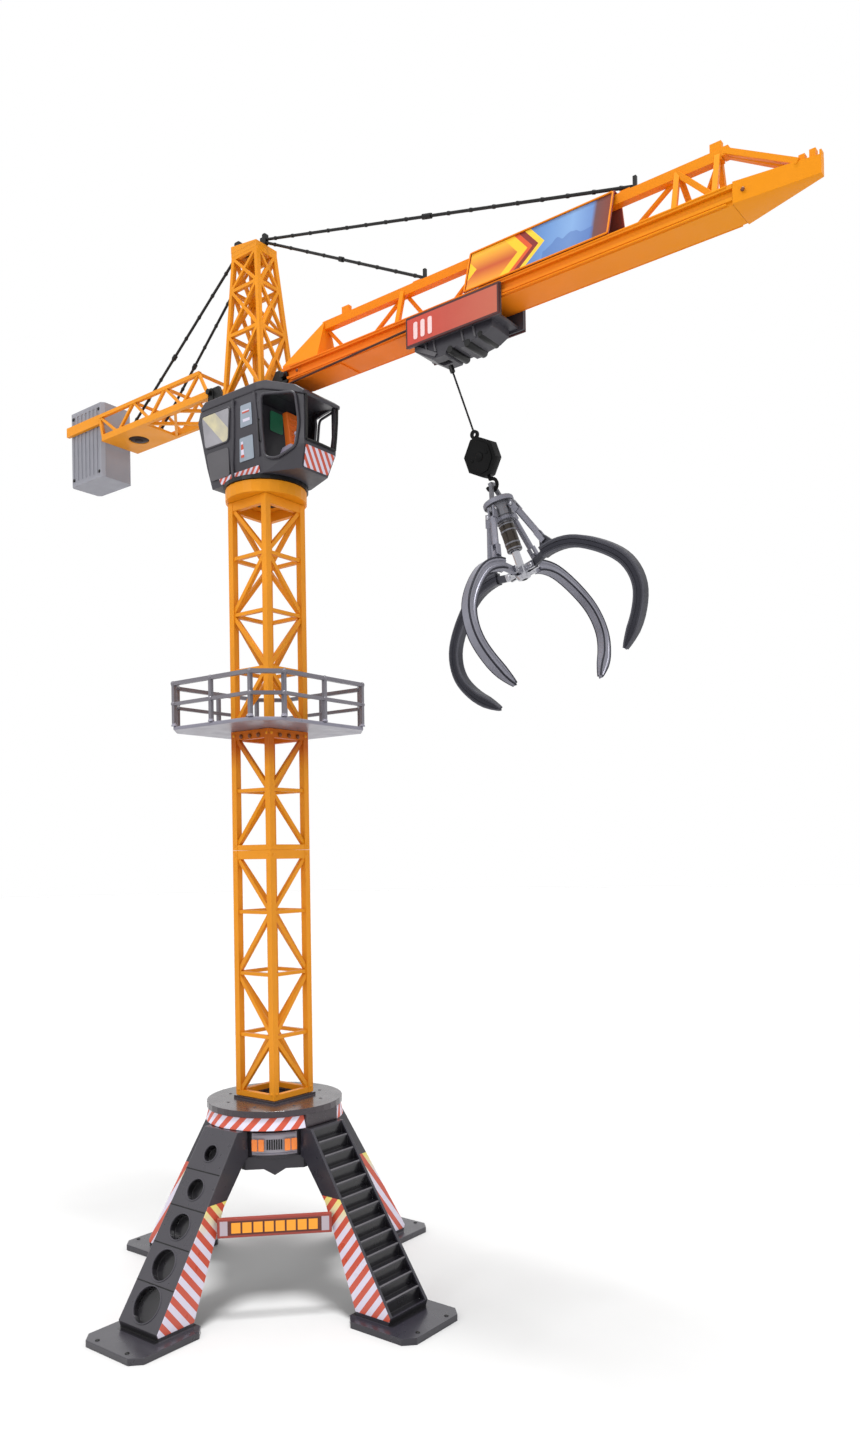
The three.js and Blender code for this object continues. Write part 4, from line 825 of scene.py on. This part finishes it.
screen = [(17, y, z) for y, z in ((-9, 972), (11, 972), (11, 995), (-9, 995))]
piece("cab_screen", [prism_shape(rounded(screen, 3), (0.8, 0, 0))], GREEN, "upper", bevel=0.3)
console = [(38, -13, 916), (60, -13, 916), (66, -13, 938), (60, -13, 944), (46, -13, 942), (38, -13, 930)]
lever = tube_shape([(62, -16, 940), (65, -16, 953)], 0.9, 8)
lever_knob = ball_shape((65.2, -16, 954), 2.4)
piece("cab_console", [prism_shape(rounded(console, 3), (0, -6, 0)), lever, lever_knob],
      LAVENDER, "upper", bevel=0.8)
piece("seat_ribs", [tube_shape([(x, -9, z), (x, 9, z)], 0.9, 8) for x, z in
                    ((52.6, 956), (51.2, 963), (49.8, 970), (48.5, 977))], SEAT_ORANGE, "upper")
nose = [(78.4, -19, 914), (78.4, 19, 914), (86.2, 23, 935.5), (86.2, -23, 935.5)]
piece("cab_nose_panel", [prism_shape(rounded(nose, 2), (0.9, 0, -0.3))], NOSE_RED, "upper", bevel=0.3)
windscreen = []
for y in (-23, 23):
    post = [(87, y, 941), (88.6, y * 1.02, 955), (89.6, y * 1.05, 972), (89.6, y * 1.08, 988)]
    windscreen.append(tube_shape(post, 1.3, 8))
windscreen.append(tube_shape([(87, -23, 941), (88, 0, 941), (87, 23, 941)], 1.3, 8))
piece("windscreen_frame", windscreen, BLACK, "upper")
skirts = []
for sign in (-1, 1):
    low, high = sign * 37.6, sign * 38.9
    corners = [(-34, low, 913.4), (30, low, 913.4), (30, high, 921), (-36, high, 921)]
    skirts.append(prism_shape(rounded(corners, 1.5), (0, sign * 0.6, 0)))
piece("cab_skirt_bands", skirts, SKIRT_RED, "upper", bevel=0.2)
louvres = []
for i in range(7):
    z = 930 + i * 8
    x = -50 - (z - 912) * 0.165 - 1.2
    louvres.append(tube_shape([(x, -24, z), (x, 24, z)], 1.3, 8))
piece("cab_rear_louvres", louvres, PANEL_DARK, "upper")
studs = [knob_shape((x, y, 1009.5), (0, 0, 1), 1.8, 0.8) for x in (-42, 40) for y in (-34, 34)]
piece("roof_studs", studs, BLACK, "upper")

brackets = []
for x, z, reach in ((50, 1021, 21), (-63, 1031, 30)):
    for y in (-1, 1):
        brackets.append(tube_shape([(x, y * (reach - 3), z), (x, y * (reach + 1.5), z)], [3.6, 3.3], 14))
        foot = [(x - 5, y * (reach - 6), 1013.2), (x + 5, y * (reach - 6), 1013.2),
                (x + 3.4, y * (reach - 6), z + 5), (x - 3.4, y * (reach - 6), z + 5)]
        brackets.append(prism_shape(rounded(foot, 2), (0, y * 3.2, 0)))
piece("root_brackets", brackets, BLACK, "upper", bevel=0.4)

# -------- jib, sign, stays and counterweight

LEDGE_START, LEDGE_END, LEDGE_OUT = 60, 560, 18.4
ledge = []
for y in (-1, 1):
    for z, radius in ((1028.7, 0.9), (1014.2, 0.8)):
        ends = [(x, y * LEDGE_OUT, z) for x in (LEDGE_START, LEDGE_END)]
        ledge.append(tube_shape(ends, radius, 8))
piece("jib_ledge_beads", ledge, JIB_ORANGE, "upper")
bolts = []
for x in (574, 70):
    for y in (-1, 1):
        bolts.append(knob_shape((x, y * 18.1, 1021.5), (0, y, 0), 1.8, 1.2))
piece("jib_bolts", bolts, BOLT_BROWN, "upper")
sign_rims = []
for y in (-1, 1):
    outline = [(297, y * 19.3, 1031), (452, y * 19.3, 1031), (452, y * 7.2, 1073), (297, y * 7.2, 1073)]
    sign_rims.append(tube_shape(rounded(outline, 1.5), 0.8, 8, closed=True))
piece("sign_frame", sign_rims, JIB_ORANGE, "upper")


ROD_R, BEAD_R, BEAD_SPACING = 1.6, 2.2, 27


def beaded_rod(start, end):
    """A thin rod with a row of long beads on it."""
    start, end = Vector(start), Vector(end)
    count = int((end - start).length / BEAD_SPACING)
    rod = tube_shape([start, end], ROD_R, 8)
    return [rod] + [ball_shape(start.lerp(end, (k + 0.5) / count), BEAD_R, end - start, 1.5, 8)
                    for k in range(count)]


STAYS = [((7.5, 0, 1192.5), (235, 0, 1074)), ((7.5, 0, 1196.5), (470, 0, 1074))]
STAYS += [((-39.5, y * 10, 1182), (-222, y * 20, 1031.3)) for y in (-1, 1)]
stay_beads = []
for start, end in STAYS:
    stay_beads += beaded_rod(start, end)
piece("stay_beads", stay_beads, BLACK, "upper")

# The head's rim rises towards the rear, and a black clip stands at each end of it.
head_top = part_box("tower_head")[1].z / MM
HEAD_REAR, HEAD_FRONT = -35.9, 6.2
rim_parts = []
for y in (-1, 1):
    flank = [(HEAD_REAR, y * 16.3, head_top - 2), (HEAD_FRONT, y * 16.3, head_top - 2),
             (HEAD_FRONT, y * 16.3, head_top + 0.4), (HEAD_REAR, y * 16.3, head_top + 6)]
    rim_parts.append(prism_shape(flank, (0, -y * 3, 0)))
rear = [(HEAD_REAR, y, head_top + lift) for y, lift in ((-16.2, -2), (16.2, -2), (16.2, 6), (-16.2, 6))]
rim_parts.append(prism_shape(rear, (3, 0, 0)))
piece("head_rim", rim_parts, MAST_ORANGE, "upper", bevel=0.4)
clips = []
for x0, x1, low, high, half in ((-34.5, -26, 4.5, 12, 12.5), (1.5, 7.2, 1, 13.5, 2.8)):
    outline = [(x, -half, head_top + h) for x, h in ((x0, low), (x1, low), (x1, high), (x0, high))]
    clips.append(prism_shape(rounded(outline, 2), (0, 2 * half, 0)))
piece("head_clips", clips, BLACK, "upper", bevel=0.5)

hooks = []
for y in (-1, 1):
    hook = [(x, y * 22, z) for x, z in
            ((-227, 1029.2), (-217, 1029.2), (-216, 1035), (-219, 1038.5), (-226, 1036))]
    hooks.append(prism_shape(rounded(hook, 1.5), (0, -y * 4.5, 0)))
    hooks.append(tube_shape([(-221.5, y * 23.5, 1033.5), (-221.5, y * 16, 1033.5)], 2.6, 10))
piece("backstay_hooks", hooks, BLACK, "upper", bevel=0.4)
# A dark brown dome fills the counter-jib's round hole: painted shade standing in for the dark inside of the
# hole.
HOLE_SHADE_X, HOLE_SHADE_R = -232, 12.6
piece("counter_jib_hole_shade", [knob_shape((HOLE_SHADE_X, 0, 1029.2), (0, 0, -1), HOLE_SHADE_R, 4.6, 24),
                           knob_shape((HOLE_SHADE_X, 0, 1025), (0, 0, -1), HOLE_SHADE_R * 0.45, 1.6, 16)],
      HOLE_SHADE_BROWN, "upper")

weight_screws = []
for x in (-341, -285):
    for y in (-1, 1):
        for z in (992, 1073):
            weight_screws.append(knob_shape((x, y * 22.8, z), (0, y, 0), 2.2, 1.0))
piece("weight_screws", weight_screws, BLACK, "upper")
rear_ribs = []
for z in (1000, 1016, 1032, 1048, 1064):
    rear_ribs.append(tube_shape([(-348.4, -19, z), (-348.4, 19, z)], 1.2, 8))
piece("weight_rear_ribs", rear_ribs, WEIGHT_GREY, "upper")

# The line slopes up a little from the jib's root to the trolley.
slack = [(52 + k * 12, -20.6 + k * 0.06, 1008.5 + k * 0.5) for k in range(17)]
line = piece("trolley_pull_line", [tube_shape(slack, 1.1, 8)], LINE_BROWN, None)
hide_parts("trolley_line")
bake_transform(line)

# -------- trolley

marks = []
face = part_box("trolley_plate_left")[0].y / MM + 0.1
for k in range(3):
    x = 238 + k * 9
    outline = [(x, face, 1001), (x + 5, face, 1001), (x + 5, face, 1018), (x, face, 1018)]
    marks.append(prism_shape(rounded(outline, 2.2), (0, -0.5, 0)))
    marks.append(prism_shape(rounded(mirrored(outline), 2.2), (0, 0.5, 0)))
piece("plate_marks", marks, PALE_PRINT, "trolley")
rollers = []
for x, z, r in ((276, 983.5, 4.2), (297, 983.5, 4.4), (312, 987.5, 3.6)):
    axle = [(x, y, z) for y in (-15.5, -14, 14, 15.5)]
    rollers.append(tube_shape(axle, [r - 1, r, r, r - 1], 14))
piece("trolley_rollers", rollers, BLACK, "trolley")
ribs = []
for x in (246, 256, 290, 304):
    for y in (-1, 1):
        ribs.append(tube_shape([(x, y * 15.6, 999), (x + 3, y * 15.6, 986)], 1.2, 8))
hood = [(233, 994), (258, 981), (261, 984), (236, 998)]
for y in (-1, 1):
    ribs.append(prism_shape(rounded([(x, y * 15.4, z) for x, z in hood], 1), (0, y * 1.4, 0)))
piece("trolley_ribs", ribs, PANEL_DARK, "trolley", bevel=0.3)
axle_caps = []
for x in (242, 326):
    for y in (-1, 1):
        axle_caps.append(knob_shape((x, y * 21.4, 1022.5), (0, y, 0), 1.6, 0.7))
piece("trolley_axle_caps", axle_caps, BLACK, "trolley")

# -------- cord, hook and grapple

LOAD_HEADING = math.radians(28.7)
LOAD_LEAN = math.radians(18.1)
CLAW_TURN = math.radians(-3.5)
HANG = Vector((265, 0, 977.5))
LEAN_AXIS = Vector((-math.sin(LOAD_HEADING), math.cos(LOAD_HEADING), 0))
LEAN = Matrix.Rotation(-LOAD_LEAN, 3, LEAN_AXIS)


def hung(x, y, s):
    """A point beside the load's axis, s millimetres down it from where the cord leaves the trolley."""
    return HANG + LEAN @ Vector((x, y, -s))


def grapple_point(turn, r, t, s):
    """A point beside claw number turn: radius, sideways distance and distance down the axis."""
    a = turn * math.pi / 2 + CLAW_TURN
    return hung(r * math.cos(a) - t * math.sin(a), r * math.sin(a) + t * math.cos(a), s)


def turned(profile, sides=28):
    """A ring-shaped piece round the load's axis, from pairs of radius and distance down the axis."""
    verts, faces = [], []
    count = len(profile)
    for k in range(sides):
        a = 2 * math.pi * k / sides
        verts += [hung(r * math.cos(a), r * math.sin(a), s) for r, s in profile]
    for k in range(sides):
        for i in range(count):
            a, b = k * count + i, k * count + (i + 1) % count
            c, d = ((k + 1) % sides) * count + (i + 1) % count, ((k + 1) % sides) * count + i
            faces.append((a, b, c, d))
    return verts, faces


# The cord's ends, down the load's axis, and how its three strands are laid.
CORD_START, CORD_END, CORD_STEPS = 9.4, 71.5, 60
LAY_LENGTH, LAY_R, STRAND_R = 7, 0.52, 0.58
strands = []
for strand in range(3):
    points = []
    for k in range(CORD_STEPS + 1):
        s = CORD_START + (CORD_END - CORD_START) * k / CORD_STEPS
        a = 2 * math.pi * (s / LAY_LENGTH + strand / 3)
        points.append(hung(LAY_R * math.cos(a), LAY_R * math.sin(a), s))
    strands.append(tube_shape(points, STRAND_R, 6))
cord = piece("twisted_cord", strands, CORD, None)
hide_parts("hoist_cord")
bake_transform(cord)

BLOCK_S = 101
CHEEK = [(-13, -7), (-4, -16), (4, -16), (13, -7), (13, 7), (4, 16), (-4, 16), (-13, 7)]
block_bits = []
for y in (-1, 1):
    outward = LEAN @ Vector((0, y, 0))
    outline = [hung(x, y * 5.4, BLOCK_S + z) for x, z in CHEEK]
    block_bits.append(prism_shape(rounded(outline, 2), outward * 0.9))
    block_bits.append(knob_shape(hung(0, y * 6.2, BLOCK_S), outward, 4.4, 1.4, 16))
    for x in (-9, 9):
        block_bits.append(knob_shape(hung(x, y * 6.2, BLOCK_S), outward, 1.6, 0.8))
piece("block_cheeks", block_bits, HOOK_BLACK, "hook", bevel=0.3)

bands = [turned([(13.6, 147.6), (15.6, 147.6), (15.8, 150), (15.6, 152), (13.6, 152)]),
         turned([(9.4, 166), (10.9, 166.4), (10.9, 169.4), (9.4, 169.8)])]
piece("collar_bands", bands, BRIGHT, "grapple", bevel=0.3)
rings = [turned([(7.0, s), (7.9, s + 0.4), (7.9, s + 1.8), (7.0, s + 2.2)]) for s in (172.5, 179, 192, 198)]
piece("cylinder_rings", rings, HEAD_METAL, "grapple")
piece("cylinder_sleeve", [turned([(7.2, 172), (7.65, 172), (7.65, 200.6), (7.2, 200.6)])], SLEEVE, "grapple")


def pin_caps_at(r, t, s, radius):
    """Low domes on both ends of the four pins at radius r and distance s down the axis."""
    caps = []
    for k in range(4):
        for y in (-1, 1):
            inner, outer = grapple_point(k, r, y * t, s), grapple_point(k, r, y * (t + 1), s)
            caps.append(knob_shape(inner, outer - inner, radius, 0.9))
    return caps


piece("collar_pin_caps", pin_caps_at(15, 4.2, 158, 2.1), STEEL, "grapple")
pin_caps = pin_caps_at(14, 5.0, 222, 2.3)
pin_caps.append(turned([(3, 227), (8.2, 227), (6.4, 230), (3, 231)]))
piece("hub_pin_caps", pin_caps, STEEL, "plunger")


def smooth_line(points, steps):
    """Points along a smooth curve through the given points."""
    result = []
    count = len(points)
    for i in range(count - 1):
        p0, p1 = points[max(i - 1, 0)], points[i]
        p2, p3 = points[i + 1], points[min(i + 2, count - 1)]
        for k in range(steps):
            t = k / steps
            result.append(0.5 * (2 * p1 + (p2 - p0) * t + (2 * p0 - 5 * p1 + 4 * p2 - p3) * t * t
                                 + (3 * p1 - p0 - 3 * p2 + p3) * t ** 3))
    result.append(points[-1])
    return result


# A claw's middle line, as distance out and distance down the axis. The bar starts a little way along it.
CLAW_GUIDE = [(14, 222), (34, 216), (62, 221), (90, 240), (109, 263), (113, 289), (101, 314), (78, 337)]
CLAW_LINE = smooth_line([Vector(p) for p in CLAW_GUIDE], 5)
CLAW_START = 4
# Section of a claw: sideways and outward offsets.
CLAW_SECTION = [(-0.9, -1.0), (0.9, -1.0), (1.0, -0.88), (1.0, -0.4), (0.84, -0.3), (0.84, 0.3), (1.0, 0.4),
                (1.0, 0.88), (0.9, 1.0), (-0.9, 1.0), (-1.0, 0.88), (-1.0, 0.4), (-0.84, 0.3), (-0.84, -0.3),
                (-1.0, -0.4), (-1.0, -0.88)]


def claw_station(i):
    """Middle, outward direction, half depth and half width of a claw at one place along it."""
    point = CLAW_LINE[i]
    before, after = CLAW_LINE[max(i - 1, CLAW_START)], CLAW_LINE[min(i + 1, len(CLAW_LINE) - 1)]
    tangent = (after - before).normalized()
    t = i / (len(CLAW_LINE) - 1)
    depth = 5.8 - 3.6 * max(0, t - 0.92) / 0.08
    width = 4.6 * (1 - max(0, point.y - 318) / 36)
    return point, Vector((tangent.y, -tangent.x)), depth, width


def claw_shape(turn):
    """The curved bar of a claw, narrower at its tip."""
    verts, faces = [], []
    sides = len(CLAW_SECTION)
    stations = range(CLAW_START, len(CLAW_LINE))
    for i in stations:
        point, outward, depth, width = claw_station(i)
        for w, n in CLAW_SECTION:
            place = point + outward * n * depth
            verts.append(grapple_point(turn, place.x, w * width, place.y))
    count = len(stations)
    for i in range(count - 1):
        for k in range(sides):
            a, b = i * sides + k, i * sides + (k + 1) % sides
            faces.append((a, b, b + sides, a + sides))
    faces.append(tuple(reversed(range(sides))))
    faces.append(tuple(range((count - 1) * sides, count * sides)))
    return verts, faces


def claw_edges(turn):
    """Raised beads along the four long edges of a claw."""
    lines = []
    for w in (-1, 1):
        for n in (-1, 1):
            points = []
            for i in range(CLAW_START, len(CLAW_LINE)):
                point, outward, depth, width = claw_station(i)
                place = point + outward * n * (depth - 0.9)
                points.append(grapple_point(turn, place.x, w * (width - 0.55), place.y))
            lines.append(tube_shape(points, 1.05, 8))
    return lines


def claw_plate(turn, outline, half):
    """A flat plate in a claw's middle plane, half its thickness on each side."""
    lift = grapple_point(turn, 0, half, 0) - grapple_point(turn, 0, -half, 0)
    return prism_shape([grapple_point(turn, r, -half, s) for r, s in outline], lift)


PIN_R, PIN_S, EYE_R = 14, 222, 3.6
eighths = [k * math.pi / 8 for k in range(16)]
EYE = [(PIN_R + EYE_R * math.cos(a), PIN_S + EYE_R * math.sin(a)) for a in eighths]
ARM = [(14, 225.4), (36, 220), (36, 212), (14, 218.6)]
LUG = [(27, 214), (46, 214), (37, 202), (31, 202)]
for turn, letter in enumerate("abcd"):
    shapes = [claw_shape(turn), claw_plate(turn, EYE, 2.3), claw_plate(turn, ARM, 2.3),
              claw_plate(turn, LUG, 1.5)]
    # Claws b and d are drawn in the lighter metal and a and c in the darker: one silver-grey finish painted
    # as a lit pair and a shaded pair, each with painted reflection lines on its edge beads.
    light = letter in "bd"
    made = piece("claw_bar_" + letter, shapes, BRIGHT if light else GUNMETAL, "claw_" + letter)
    piece("claw_edges_" + letter, claw_edges(turn), EDGE_DARK if light else EDGE_PALE, "claw_" + letter)
    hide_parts("claw_" + str(turn + 1))
